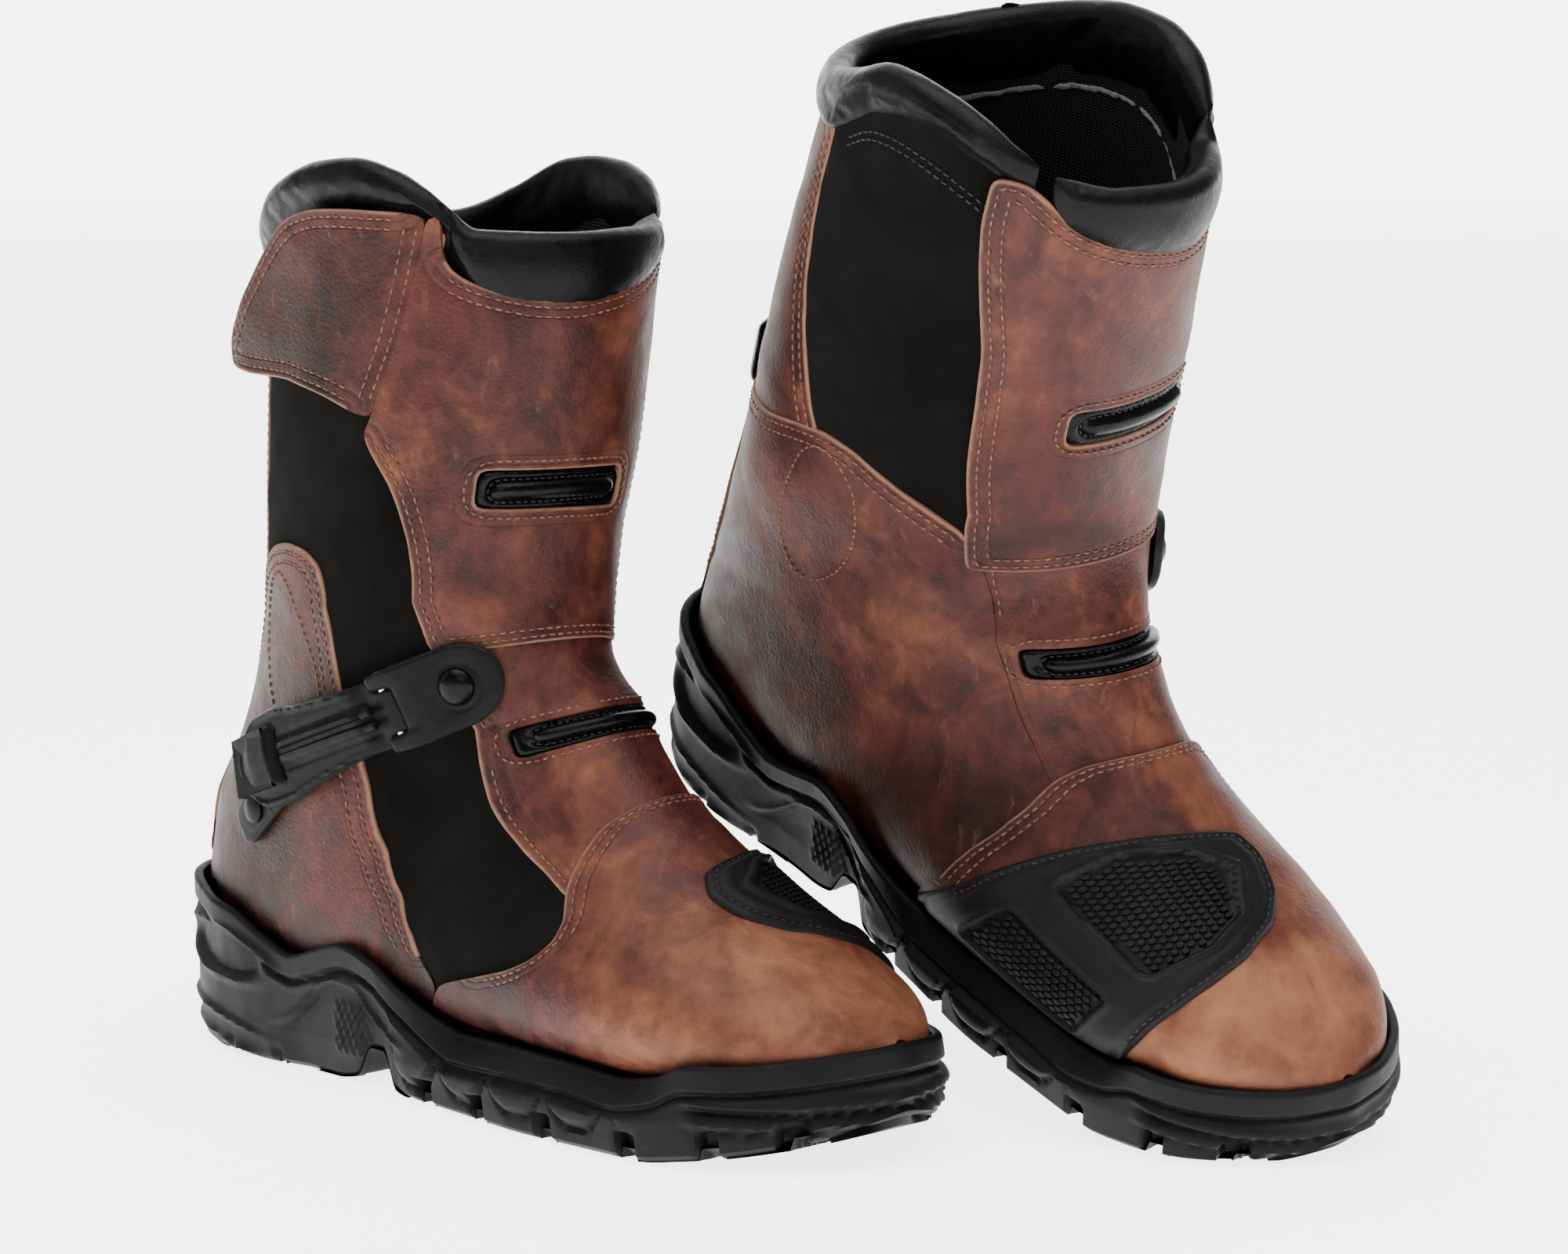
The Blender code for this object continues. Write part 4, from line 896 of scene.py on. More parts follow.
def build_leather():
    shin = loop([(.030, 45)] + SCOOP + SHIN_MEDIAL + SHIN_BOTTOM + SHIN_LATERAL
                + FOLD[:-1], passes=3)
    upper = loop(WINDOW_UPPER, passes=3)
    lower = loop(WINDOW_LOWER, passes=3)
    fold = resample(flat(FOLD), 2.0, False)
    not_fold = lambda xy: distance(np.array([xy]), fold)[0] > FOLD_REACH
    leather("shin_panel", shin, SHIN, not_fold, [upper], ["shin_panel"],
            tone_and_light=tone_and_light_by(-.02, top=.08),
            seed=0.4, clear=[inset(upper, -5)])
    instep = loop([(.333, 42), (.333, -50), (.353, -51.5), (.385, -47), (.413, -44.5), (.454, -43),
                   (.52, -41), (.575, -40), (.615, -41), (.62, -30), (.60, 0), (.62, 28),
                   (.665, 44), (.645, 47.5), (.60, 46), (.547, 46), (.50, 46.3), (.453, 46),
                   (.40, 44), (.36, 42.3)], passes=3)
    shown = edge_at(lambda t, th: .346 < t < .66
                    and (th > 41 and t < .655 or th < -39 and t < .60))
    leather("instep_panel", instep, INSTEP, shown, [lower], ["instep_panel"], tone_and_light=tone_and_light_by(.02),
            seed=1.9, clear=[inset(lower, -5)])
    for window, level in ((upper, SHIN), (lower, INSTEP)):
        stitch(ease(inset(window, -2.9), 2, True), level + 0.15, closed=True, pitch=2.8)
    flap_outline = loop([(.030, 45)] + FLAP_EDGE + FOLD[:-1], passes=3)

    def rise(xy):
        t, th = angles(xy)
        fold_th = np.interp(t, *zip(*FOLD[::-1]))
        flare = step(th, 88, 124) * step(t, .03, .13)
        return step(th - fold_th, 1, 30) + 1.5 * flare

    def flap_top(xy, d):
        return rounded(SHIN, 0.55)(xy, d) + FLAP_LIFT * rise(xy) - CHANNEL * bump(d, NEAR, .9) \
            - CHANNEL * bump(d, FAR, .9) + 0.4 * wobble(surf(*angles(xy)), 50, 3.0)

    leather("flap", flap_outline, SHIN, not_fold, (), ["flap"], "flap_body",
            tone_and_light=tone_and_light_by(-.22, top=.05), top=flap_top,
            bottom=lambda xy, d: SHIN - THICK + FLAP_LIFT * rise(xy))
    base = line([(.036, 47.5), (.070, 49.5), (.110, 53.2), (.140, 57), (.158, 59.5)])
    for shift in (0.0, 3.0):
        stitch(base + (0, shift), lambda xy: flap_top(xy, np.full(len(xy), 9.0)) + 0.1,
               body="flap_body")
    strip = loop([(.040, 39), (.170, 52), (.166, 61), (.036, 51)], passes=2)
    put("flap_fold", solid(strip, below(2.2, 0), below(2.2, 0.9)), LEATHER_MAT, sharp=50)

    vamp = loop(VAMP_SEAM + hem(-1, .668, .985, 20) + [(1.010, -140), (1.012, 0), (1.010, 140)]
                + hem(1, .985, .652, 20), passes=3)
    shown = edge_at(lambda t, th: t < .70 and -92 < th < 95)
    leather("vamp", vamp, VAMP, shown, (), ["vamp"], tone_and_light=tone_and_light_by(-.05, toe=.85, low=.06), seed=2.2,
            waves=0.5)
    quarter = loop(ARCH_LATERAL + hem(1, .652, BACK + .006, 16) + [(BACK, 180)], passes=3)
    shown = edge_at(lambda t, th: t < .62 and th < 172 and not (t > .36 and th > 100))
    leather("quarter_lateral", quarter, QUARTER, shown, (), ["quarter_lateral"],
            tone_and_light=tone_and_light_by(-.12, low=.34), seed=0.9)
    quarter = loop(ARCH_MEDIAL + QUARTER_FRONT + [(.645, -45), (.68, -75)]
                   + hem(-1, .675, BACK + .006, 16) + [(BACK, -180)], passes=3)
    shown = edge_at(lambda t, th: t < .33 and -172 < th < -54)
    leather("quarter_medial", quarter, QUARTER, shown, (), ["quarter_medial"],
            tone_and_light=tone_and_light_by(-.03, low=.20), seed=2.9)
    a = np.linspace(0, 2 * math.pi, 90, endpoint=False)
    for side in (1, -1):
        oval = flat([(.335 + .060 * math.cos(q), side * (99 + 13.5 * math.sin(q)
                     - 60 * (.06 * math.cos(q)))) for q in a])
        stitch(oval, QUARTER + 0.15, closed=True, pitch=2.8)
    strip = loop([(.066, 127), (.092, 126), (.160, 125.5), (.240, 126), (.345, 130), (.355, 180),
                  (.345, 225), (.315, 252), (.30, 260), (.262, 254), (.235, 248), (.203, 241.5),
                  (.165, 235), (.133, 230.5), (.100, 228), (.066, 227)], passes=3)
    shown = edge_at(lambda t, th: .066 < t < .335 and (th < 132 or th > 220))
    leather("back_strip", strip, STRIP, shown, (), ["back_strip"], tone_and_light=tone_and_light_by(-.04), seed=1.1)
    stay = loop([(.300, 163), (.292, 180), (.300, 197), (.36, 204), (.425, 209), (.46, 205),
                 (.46, 155), (.425, 151), (.36, 156)], passes=4)
    shown = edge_at(lambda t, th: t < .44)
    leather("back_stay", stay, QUARTER + 1.0, shown, tone_and_light=tone_and_light_by(-.10, low=.15), seed=1.4)

    gusset = loop([(.020, 40), (.10, 44), (.168, 52), (.209, 42), (.24, 36), (.30, 36), (.363, 38),
                   (.455, 41), (.547, 41), (.62, 39), (.67, 46), (.71, 62), (.712, 80), (.68, 110),
                   (.64, 118), (.60, 98), (.50, 82), (.42, 85), (.36, 86), (.32, 92),
                   (.305, 118), (.30, 132), (.24, 132), (.092, 132), (.025, 130)], passes=2)
    none = edge_at(lambda t, th: False)

    def soft_top(xy, d):
        return GUSSET + 0.5 * wobble(surf(*angles(xy)), 38, 5.0)

    put("gusset_lateral", solid(gusset, soft_top, below(GUSSET, 1.3), bare=none), SUEDE,
        replaces=["gusset_lateral"])
    gusset = loop([(.028, -60), (.07, -64), (.13, -59), (.165, -55), (.24, -52), (.31, -50),
                   (.325, -56), (.315, -78), (.30, -100), (.30, -118), (.203, -126), (.133, -134),
                   (.080, -138), (.024, -120), (.018, -100), (.022, -80)], passes=2)
    put("gusset_medial", solid(gusset, soft_top, below(GUSSET, 1.3), bare=none), SUEDE,
        replaces=["gusset_medial"])
    for shift in (0.0, 2.6):
        stitch(line([(.064, -64), (.052, -76), (.044, -88), (.041, -102), (.047, -114),
                     (.066, -124)]) + (shift, 0), GUSSET + 0.3, thread="black")
    return upper, lower


# ---- padded inserts ---------------------------------------------------------------------------
def build_inserts(upper, lower):
    for name, window, level in (("shin_insert_upper", upper, SHIN),
                                ("shin_insert_lower", lower, INSTEP)):
        outline = resample(inset(window, -1.2), 1.2, True)
        low, high = window.min(0), window.max(0)
        cx, cy = (low + high) / 2
        hx, hy = (high - low) / 2

        def top(xy, d):
            # raised lozenge in the middle, sewn down round it
            across = np.maximum(np.abs(xy[:, 1] - cy) - (hy * 0.80 - hx * 0.40), 0)
            r = np.hypot(across, xy[:, 0] - cx) / (hx * 0.46)
            ridge = 2.6 * np.sqrt(np.clip(1 - r ** 2, 0, 1))
            channel = -0.9 * bump(r, 1.18, 0.22)
            sunk = 1.9 * step(d, 0.4, 3.2) * (r > 0.9) * (1 - 0.35 * bump(r, 1.2, .3))
            return level - 1.9 + sunk \
                + 1.0 * (r <= 0.9) + ridge + channel \
                + 0.10 * np.sin(xy[:, 1] * 1.9 + 2 * np.sin(xy[:, 1] * .37)) * step(r, .5, 1.5)
        part = solid(outline, top, below(level, 2.6), spacing=0.9, rings=(0.6, 1.3))
        put(name, part, INSERT_MAT, replaces=[name], sharp=70)
        a = np.linspace(0, 2 * math.pi, 120, endpoint=False)
        half = hy * 0.80 - hx * 0.40
        ring = np.stack([cx + hx * 0.56 * np.cos(a), cy + half * np.sign(np.sin(a))
                         * np.minimum(1, np.abs(np.sin(a)) * 3) + hx * 0.56 * np.sin(a)], -1)
        stitch(resample(ring, 0.8, True), level - 0.9, thread="black", pitch=2.4, gap=0.7,
               radius=0.28, closed=True)
    pad = loop([(.240, 163), (.240, 197), (.286, 197), (.286, 163)], spacing=1.0, passes=14)

    def top(xy, d):
        return STRIP + 0.6 + 5.2 * np.sqrt(np.clip(d / 9.0, 0, 1) * (2 - np.clip(d / 9.0, 0, 1)))
    put("achilles_pad", solid(pad, top, below(STRIP + 0.4, 0.8), spacing=1.3), INSERT_MAT,
        replaces=["achilles_pad"], sharp=70)


# ---- collars ----------------------------------------------------------------------------------
topline = table([(-190, .042)] + TOPLINE + [(190, .042)])


def build_collar(lower_edge, start, end, pad_out, inner_depth, count, seed, taper):
    """Padded roll: up the outside from its lower seam, over the top edge and down inside."""
    th = np.linspace(start, end, count)
    wrapped = np.where(th > 180, th - 360, th)
    t0, t1 = topline(wrapped) + CROWN, table(lower_edge)(th)
    profile = 30
    pts = np.zeros((count, profile, 3))
    flats = np.zeros((count, profile, 2))
    inner_t = t0 + inner_depth
    ends = np.minimum(th - th[0], th[-1] - th) * 0.82
    fill = np.sqrt(np.clip(ends / taper, 0.02, 1))
    for k in range(profile):
        f = k / profile
        # outer face from the lower seam (f 0) to the crown (f .42), inner face to the hem (f .95)
        if f <= 0.42:
            g = f / 0.42
            t = t1 + (t0 - t1) * g
            out = 2.4 + (pad_out - 2.4) * np.sin(math.pi * min(g * 0.62 + 0.02, 0.5)) ** 0.7
            out = out * (1 - 0.25 * g ** 3)
        elif f < 0.54:
            g = (f - 0.42) / 0.12
            t = t0 - CROWN * math.sin(math.pi * g)
            mid = (pad_out * 0.75 + PAD_IN) / 2
            out = mid + (pad_out * 0.75 - mid) * math.cos(math.pi * g) + 0 * t0
        elif f < 0.92:
            g = (f - 0.54) / 0.38
            t = t0 + (inner_t - t0) * g
            out = PAD_IN + (-2.6 - PAD_IN) * g ** 2.5 + 0 * t0
        else:
            g = (f - 0.92) / 0.08
            t = inner_t + (t1 - inner_t) * g
            out = -2.6 + 4.2 * g + 0 * t0
        out = 1.0 + (out - 1.0) * fill
        pts[:, k] = surf(t, th) + normal(t, th) * out[:, None]
        flats[:, k] = np.stack([t * T_MM + 0 * th, th * TH_MM], -1)
    faces = grid_faces(count, profile)
    faces += [list(range(profile))[::-1], [(count - 1) * profile + k for k in range(profile)]]
    points = pts.reshape(-1, 3)
    pinned = np.zeros((count, profile), bool)
    for k in range(profile):
        f = k / profile
        pinned[:, k] = f < 0.02 or f > 0.9
    pinned[:2] = pinned[-2:] = True
    points = inflate(points, faces, pinned.ravel(), seed)
    part = {"points": points, "faces": faces, "flat": flats.reshape(-1, 2)}
    return part, th


def inflate(points, faces, pinned, seed):
    """Cloth with inner pressure; sewn edges hold still.  Part of its movement is kept."""
    mesh = bpy.data.meshes.new("cloth_start")
    start = points * 0.001
    start = start + 0.00012 * np.stack([wobble(points, 9, seed), wobble(points, 11, seed + 1),
                                        wobble(points, 10, seed + 2)], -1)
    mesh.from_pydata(start.tolist(), [], faces)
    obj = bpy.data.objects.new("cloth_start", mesh)
    scene = bpy.context.scene
    scene.collection.objects.link(obj)
    group = obj.vertex_groups.new(name="pin")
    group.add([int(i) for i in np.nonzero(pinned)[0]], 1.0, "REPLACE")
    mod = obj.modifiers.new("cloth", "CLOTH")
    s = mod.settings
    s.quality = 6
    s.mass = 0.2
    s.tension_stiffness = s.compression_stiffness = 25
    s.shear_stiffness = 6
    s.bending_stiffness = 2.5
    s.use_pressure = True
    s.uniform_pressure_force = 5.0
    s.shrink_min = -0.012
    s.vertex_group_mass = "pin"
    s.effector_weights.gravity = 0
    mod.collision_settings.use_collision = False
    mod.collision_settings.use_self_collision = False
    scene.frame_start, scene.frame_end = 1, CLOTH_FRAMES
    for f in range(1, CLOTH_FRAMES + 1):
        scene.frame_set(f)
    shape = obj.evaluated_get(bpy.context.evaluated_depsgraph_get()).to_mesh()
    co = np.zeros(len(shape.vertices) * 3)
    shape.vertices.foreach_get("co", co)
    moved = co.reshape(-1, 3) * 1000 - points
    bpy.data.objects.remove(obj)
    scene.frame_set(1)
    size = np.linalg.norm(moved, axis=1, keepdims=True)
    return points + CLOTH_SHARE * moved * np.minimum(1, CLOTH_CAP / np.maximum(size, 1e-6))


def build_collars():
    rear = [(36, .046), (42, .034), (50, .024), (64, .024), (90, .030), (104, .042),
            (116, .058), (130, .074), (160, .080), (200, .080), (222, .074), (236, .050),
            (246, .032), (258, .022), (270, .018), (284, .024), (296, .035), (306, .044)]
    part, th = build_collar(rear, 36, 304, 6.4, .050, 180, 0.3, 16.0)
    put("collar_rear", part, COLLAR_MAT, replaces=["collar_rear"], sharp=80,
        level=1)
    inner = topline(np.where(th > 180, th - 360, th)) + .064
    rim_line = surf(inner, th) + normal(inner, th) * -2.9
    frayed = rim_line + 0.5 * np.stack([wobble(rim_line, 7, k) for k in range(3)], -1)
    lint = tube(frayed[4:-4], 0.9 + 0.3 * wobble(rim_line, 5, 7)[4:-4])
    put("lining_seam", lint, LINT)
    front = [(-52, .044), (-49, .054), (-42, .064), (-34, .073), (-24, .081), (-12, .088),
             (0, .090), (10, .089), (19, .086), (26, .080), (32, .068), (37, .050), (39, .040)]
    part, _ = build_collar(front, -51.5, 39, 6.2, .055, 90, 4.3, 7.0)
    put("collar_front", part, COLLAR_MAT, replaces=["collar_front"], sharp=80,
        level=1)


def build_lining():
    rows, cols = 64, 96
    ts = np.concatenate([np.linspace(0, 1, 34) * 0.30,
                         0.30 + np.linspace(0, 1, rows - 33)[1:] * 0.64])
    th = np.linspace(-180, 180, cols, endpoint=False)
    top = topline(th) + .030
    layers = []
    for d, uneven in ((-1.2, 0.0), (-3.3, 0.5)):
        stack = []
        for t in ts:
            row = np.where(t < 0.12, top + (0.12 - top) * t / 0.12, t)
            p = surf(row, th)
            stack.append(p + normal(row, th) * (d + uneven * wobble(p, 30, 2.0))[:, None])
        layers.append(np.array(stack))
    pts = np.vstack([layers[0].reshape(-1, 3), layers[1].reshape(-1, 3)])
    n = rows * cols
    faces = grid_faces(rows, cols)
    faces += [[i + n for i in f[::-1]] for f in faces]
    for k in range(cols):
        k2 = (k + 1) % cols
        faces.append([k2, k, k + n, k2 + n])
    for base, push, flip in ((n - cols, 3.2, False), (2 * n - cols, 2.2, True)):
        tip = len(pts)
        pts = np.vstack([pts, pts[base:base + cols].mean(0) + (push, 0, -push * .6)])
        for k in range(cols):
            f = [base + k, base + (k + 1) % cols, tip]
            faces.append(f[::-1] if flip else f)
    grid_t = np.repeat(ts, cols) * T_MM
    grid_h = np.tile(th, rows) * TH_MM
    one = np.stack([grid_t, grid_h], -1)
    flats = np.vstack([one, one, [[T_MM, 0], [T_MM, 0]]])
    put("lining", {"points": pts, "faces": faces, "flat": flats}, MESH,
        replaces=["lining"], sharp=80)


# ---- sole -------------------------------------------------------------------------------------
def plan_ring(count):
    """Outline of the sole, evenly spaced: x and y."""
    f = np.linspace(0, 1, 400)
    x = -4 + BOOT_LENGTH * (1 - np.cos(math.pi * f)) / 2
    lateral = np.stack([x, -table([(a, b) for a, b, _ in PLAN])(x)], -1)
    medial = np.stack([x, table([(a, c) for a, _, c in PLAN])(x)], -1)[::-1]
    ring = np.vstack([lateral, medial[1:-1]])
    ring = resample(ease(resample(ring, 1.0, True), 12, True), 1.0, True)
    s = np.linspace(0, len(ring), count, endpoint=False)
    closed = np.vstack([ring, ring[:1]])
    return np.stack([np.interp(s, np.arange(len(closed)), closed[:, k]) for k in (0, 1)], -1)


DEPTHS = (1.0, 0.66, 0.33, 0.0)


def inner_walls(ring):
    """Radius of the foot-shaped hollow at four depths, for every point of the ring."""
    t, th = np.meshgrid(np.linspace(0.36, 1.0, 300), np.linspace(-180, 180, 361), indexing="ij")
    cloud = (surf(t, th) + normal(t, th) * SOLE_CLEARANCE).reshape(-1, 3)
    sx = np.clip(cloud[:, 0], *SPINE)
    rel = cloud[:, :2] - np.stack([sx, np.zeros(len(cloud))], -1)
    radius = np.linalg.norm(rel, axis=1)
    picks = np.arange(0, len(ring), 5)
    columns = []
    for x, y in ring[picks]:
        cx = min(max(x, SPINE[0]), SPINE[1])
        d = np.array([x - cx, y]) / max(math.hypot(x - cx, y), 1e-6)
        facing = rel @ d / np.maximum(radius, 1e-6)
        near = (np.abs(sx - cx) < 8) & (facing > 0.97)
        column, top = [], float(rim(x))
        for f in DEPTHS:
            z = SOLE_FLOOR + (top - SOLE_FLOOR) * f
            pick = near & (np.abs(cloud[:, 2] - z) < 1.8)
            column.append(radius[pick].max() if pick.any() else np.nan)
        known = [r for r in column if not np.isnan(r)]
        fill = (min(known) if known else math.hypot(x - cx, y) - 9) - 4
        columns.append([fill if np.isnan(r) else r for r in column])
    columns = ease(np.array(columns), 1, True)
    where = np.append(picks, len(ring))
    closed = np.vstack([columns, columns[:1]])
    return np.stack([np.interp(np.arange(len(ring)), where, closed[:, k]) for k in range(4)], -1)


NOTCHES = (42, 67, 146.5, 175, 208, 243, 271, 293)
ARCH_LINE = table([(58, 12), (70, 14), (77.5, 17.5), (85, 23), (92.5, 28.3), (103, 31.7),
                   (111.5, 31), (119, 24), (131, 18), (142, 14)])


def notch_at(x):
    """1 inside the slots between the lugs."""
    total = np.zeros_like(x)
    for c in NOTCHES:
        half = 1.5 if c < 100 else 3.2
        total = np.maximum(total, step(-np.abs(x - c), -half - 0.7, -half + 0.5))
    return total


def wall_relief(x, z, top, ground):
    """How far the sole's wall stands out (mm) at height z: bead, bulges, ribs, bars, notches."""
    d = np.zeros_like(z)
    drop, lift = top - z, z - ground
    # band under the rim, closed off by a groove that follows the rim
    d += 0.7 * step(-drop, -8.0, -7.0) - 1.3 * bump(drop, 8.8, 1.0)
    d += 0.5 * bump(drop, 11.0, 1.2) * step(x, 56, 80) * step(-x, -150, -130)
    # U-shaped pads along the forefoot
    fore = step(x, 128, 133) * step(-x, -243, -236)
    phase = np.abs(((x - 128.5) / 27.0) % 1.0 - 0.5) * 2
    edge = lift - (5.0 + 0.02 * (x - 128) + 13.0 * phase ** 3.2)
    d += fore * step(drop, 8.8, 11) * (1.9 * step(edge, 0.3, 3.2) * (1 - 0.35 * step(edge, 3, 12))
                                       - 1.3 * bump(edge, -0.4, 0.9))
    # toe: shelves, one above the other
    toe = step(x, 262, 272)
    for c in (13.0, 19.0):
        shelf = 1.7 * step(z, c, c + 1.0) * (1 - step(z, c + 1.4, c + 5.6))
        d += toe * (shelf - 0.9 * bump(z, c - 0.7, 0.9))
    # heel cup: eye-shaped recess with a raised border
    u = np.hypot((x - 36) / 27, (z - 33.5 + (x - 36) * 0.09) / 7.6)
    d += 1.3 * bump(u, 1.12, 0.16) - 2.2 * step(-u, -1.0, -0.75)
    # heel: ridges that sweep down to the back
    for k in (0, 8.0):
        ridge = z - (17.0 - k - 0.16 * (x - 5))
        d += 1.2 * bump(ridge, 0, 1.3) * step(-x, -72, -50)
    # arch: everything under the swept line lies back, with fine upright ribs in it
    arch = z - ARCH_LINE(x)
    span = step(x, 62, 80) * step(-x, -140, -128)
    d += span * (-2.0 * step(-arch, -0.3, 1.4) + 1.1 * bump(arch, 1.2, 1.1))
    ribs = 0.5 + 0.5 * np.cos(2 * math.pi * (x + (z - 15) * 0.45) / 3.7)
    d += 1.0 * ribs * step(x, 96, 99) * step(-x, -118, -114) * step(z, 8, 10) * step(-arch, 4, 7)
    # slots between the lugs
    reach = np.where(x < 100, 5.0, 8.6)
    d -= np.where(x < 100, 2.0, 5.0) * notch_at(x) * step(reach - lift, -0.6, 0.8)
    return d


def build_outsole():
    count = 600
    ring = plan_ring(count)
    x, y = ring[:, 0], ring[:, 1]
    cx = np.clip(x, *SPINE)
    r0 = np.hypot(x - cx, y)
    d = np.stack([(x - cx) / r0, y / r0], -1)
    top, ground = rim(x), tread(x)
    walls = inner_walls(ring)
    rows = []

    def row(radius, z):
        rows.append(np.stack([cx + d[:, 0] * radius, d[:, 1] * radius, z], -1))

    # underside: from the spine out to the edge of the tread, with lugs and grooves
    for f in np.concatenate([[0.04], np.linspace(0.1, 1, 22)]):
        radius = (r0 - 4.2) * f
        px, py = cx + d[:, 0] * radius, d[:, 1] * radius
        edge_band = r0 - 4.2 - radius < 17
        cross = notch_at(px) > 0.5
        channel = (r0 - 4.2 - radius > 17) & (r0 - 4.2 - radius < 21.5)
        chevron = ((px + np.abs(py) * 0.8) % 21.0) < 5.5
        fore_heel = (px < 84) | (px > 114)
        cut = fore_heel & ((edge_band & cross) | channel | (~edge_band & ~channel & chevron))
        base = tread(px)
        rows.append(np.stack([px, py, base + 3.6 * cut + 0.4 * (~fore_heel)], -1))
    heights = [0.0, 0.9, 2.0, 3.5, 5.0, 6.5, 8.0, 9.0, 10.0, 11.0, 12.0]
    for h in heights:
        z = ground + np.minimum(h, 0.8 * (top - ground))
        shape = -5.0 + 3.0 * min(h / 2, 1) ** .7 + 1.5 * min(max(h - 2, 0) / 10, 1)
        radius = r0 + shape + wall_relief(x, z, top, ground)
        row(radius, z)
    start = ground + np.minimum(12.0, 0.8 * (top - ground))
    full = walls[:, 0] + 0.9
    for f in np.linspace(0, 1, 37)[1:]:
        z = start + (top - 1.2 - start) * f
        g = f ** 1.7
        radius = (r0 - 0.5) * (1 - g) + full * g + wall_relief(x, z, top, ground)
        row(radius, z)
    lip = full + 0.7
    row(lip - 0.3, top - 0.5)
    row(lip - 0.9, top)
    inner = walls[:, 0] - 1.5
    row((lip - 0.9 + inner) / 2, top + 0.1)
    row(inner + 0.5, top - 0.1)
    row(inner, top - 0.7)
    for k in (1, 2, 3):
        row(walls[:, k], SOLE_FLOOR + (top - SOLE_FLOOR) * DEPTHS[k] - 0.3)
    floor = np.interp(cx + d[:, 0] * 20, *zip(*[(0, 30), (30, 20), (56, 17.5), (108, 16.2),
                      (156, 14.5), (199, 12.8), (236, 12.8), (267, 14.5), (300, 18)]))
    row(walls[:, 3] * 0.8, floor)
    row(walls[:, 3] * 0.05, floor)
    pts = np.vstack(rows)
    n = len(rows)
    faces = [f[::-1] for f in grid_faces(n, count)]

    def cap(base, flip):
        half = count // 2
        out = [[base, base + 1, base + count - 1]]
        for k in range(1, half - 1):
            out.append([base + k, base + k + 1, base + count - k - 1, base + count - k])
        out.append([base + half - 1, base + half, base + half + 1])
        return [f[::-1] for f in out] if flip else out

    faces += cap(0, False) + cap((n - 1) * count, True)
    put("outsole", {"points": pts, "faces": faces}, RUBBER,
        replaces=["outsole"], sharp=38)


def build_footbed():
    def bottom(x):
        ts = np.linspace(0.5, 0.97, 60)
        p = surf(ts, 180.0)
        return np.interp(x, p[:, 0], p[:, 2])

    width = table([(60, 5), (66, 10), (80, 13), (120, 13), (200, 16), (240, 11), (252, 7),
                   (256, 3)])
    xs = np.linspace(60, 256, 60)
    outline = np.vstack([np.stack([xs, width(xs)], -1), np.stack([xs, -width(xs)], -1)[::-1]])
    outline = resample(outline, 2.0, True)

    def place(xy, h):
        return np.stack([xy[..., 0], xy[..., 1], bottom(xy[..., 0]) + h], -1)
    part = solid(outline, lambda xy, d: 8.4 + 1.4 * np.sqrt(np.clip(d / 5, 0, 1)),
                 lambda xy, d: np.full(len(xy), 5.8), place, spacing=2.6)
    put("footbed", part, MESH, replaces=["footbed"])


# ---- shift pad ----------------------------------------------------------------------------------
def build_shift_pad():
    hem_up = [(t, hem_angle(t, -1, -4.0)) for t in (.665, .70, .745, .79, .835)]
    outline = loop([(.697, 10), (.680, -4), (.667, -20), (.661, -40), (.664, -62), (.670, -84)]
                   + hem_up + [(.842, -84), (.844, -56), (.842, -30), (.835, -12), (.815, 3),
                               (.780, 12), (.735, 15)], spacing=1.3, passes=9)
    field_upper = loop([(.695, -52), (.683, -28), (.702, -9), (.742, 1), (.795, -6), (.812, -22),
                        (.809, -50)], spacing=1.3, passes=4)
    field_lower = loop([(.700, -72), (.700, -104), (.800, -104), (.806, -72)],
                       spacing=1.3, passes=4)
    frame_upper, frame_lower = inset(field_upper, -2.6), inset(field_lower, -2.2)
    closed = [np.vstack([c, c[:1]]) for c in (field_upper, field_lower, frame_upper, frame_lower)]
    base = VAMP + 0.2

    def top(xy, d):
        h = base + 1.7 - 1.2 * (1 - step(d, 0, 1.3))
        h = h - 0.5 * bump(d, 2.6, 0.8) + 0.5 * step(d, 4.0, 5.2)
        for field, ring, inner, raised in ((field_upper, frame_upper, closed[0], closed[2]),
                                           (field_lower, frame_lower, closed[1], closed[3])):
            d_in = distance(xy, inner) * np.where(inside(xy, field), 1, -1)
            d_out = distance(xy, raised) * np.where(inside(xy, ring), 1, -1)
            h = h + 0.9 * step(d_out, -0.5, 0.5) - 2.3 * step(d_in, -0.4, 0.5)
        return h
    part = solid(outline, top, below(base, 0.6), spacing=1.15, rings=(0.5, 1.3, 2.6, 4.2))
    put("shift_pad", part, PAD_MAT, replaces=["shift_pad"], sharp=60)
    run_stitch(outline, 2.6, lambda xy: np.full(len(xy), base + 1.35),
               edge_at(lambda t, th: th > -92), thread="black", pitch=2.9, radius=0.34)
    # raised honeycomb cells in both fields
    cells = []
    for field in (field_upper, field_lower):
        low, high = field.min(0), field.max(0)
        pitch = 3.3
        ring = np.vstack([field, field[:1]])
        for i, gy in enumerate(np.arange(low[1], high[1], pitch * 0.866)):
            for gx in np.arange(low[0] + (i % 2) * pitch / 2, high[0], pitch):
                c = np.array([[gx, gy]])
                if not inside(c, field)[0] or distance(c, ring)[0] < 2.0:
                    continue
                a = np.arange(6) * math.pi / 3 + math.pi / 6
                corner = np.stack([np.cos(a), np.sin(a)], -1)
                levels = [(1.52, 0.7), (1.36, 1.65), (1.05, 1.85)]
                pts = np.vstack([on_boot(c + corner * r, np.full(6, base + h)) for r, h in levels])
                faces = grid_faces(3, 6)
                faces += [[12, 13, 14, 15, 16, 17], [5, 4, 3, 2, 1, 0]]
                cells.append({"points": pts, "faces": [f[::-1] for f in faces]})
    put("shift_pad_cells", joined(*cells), PAD_MAT, sharp=30)


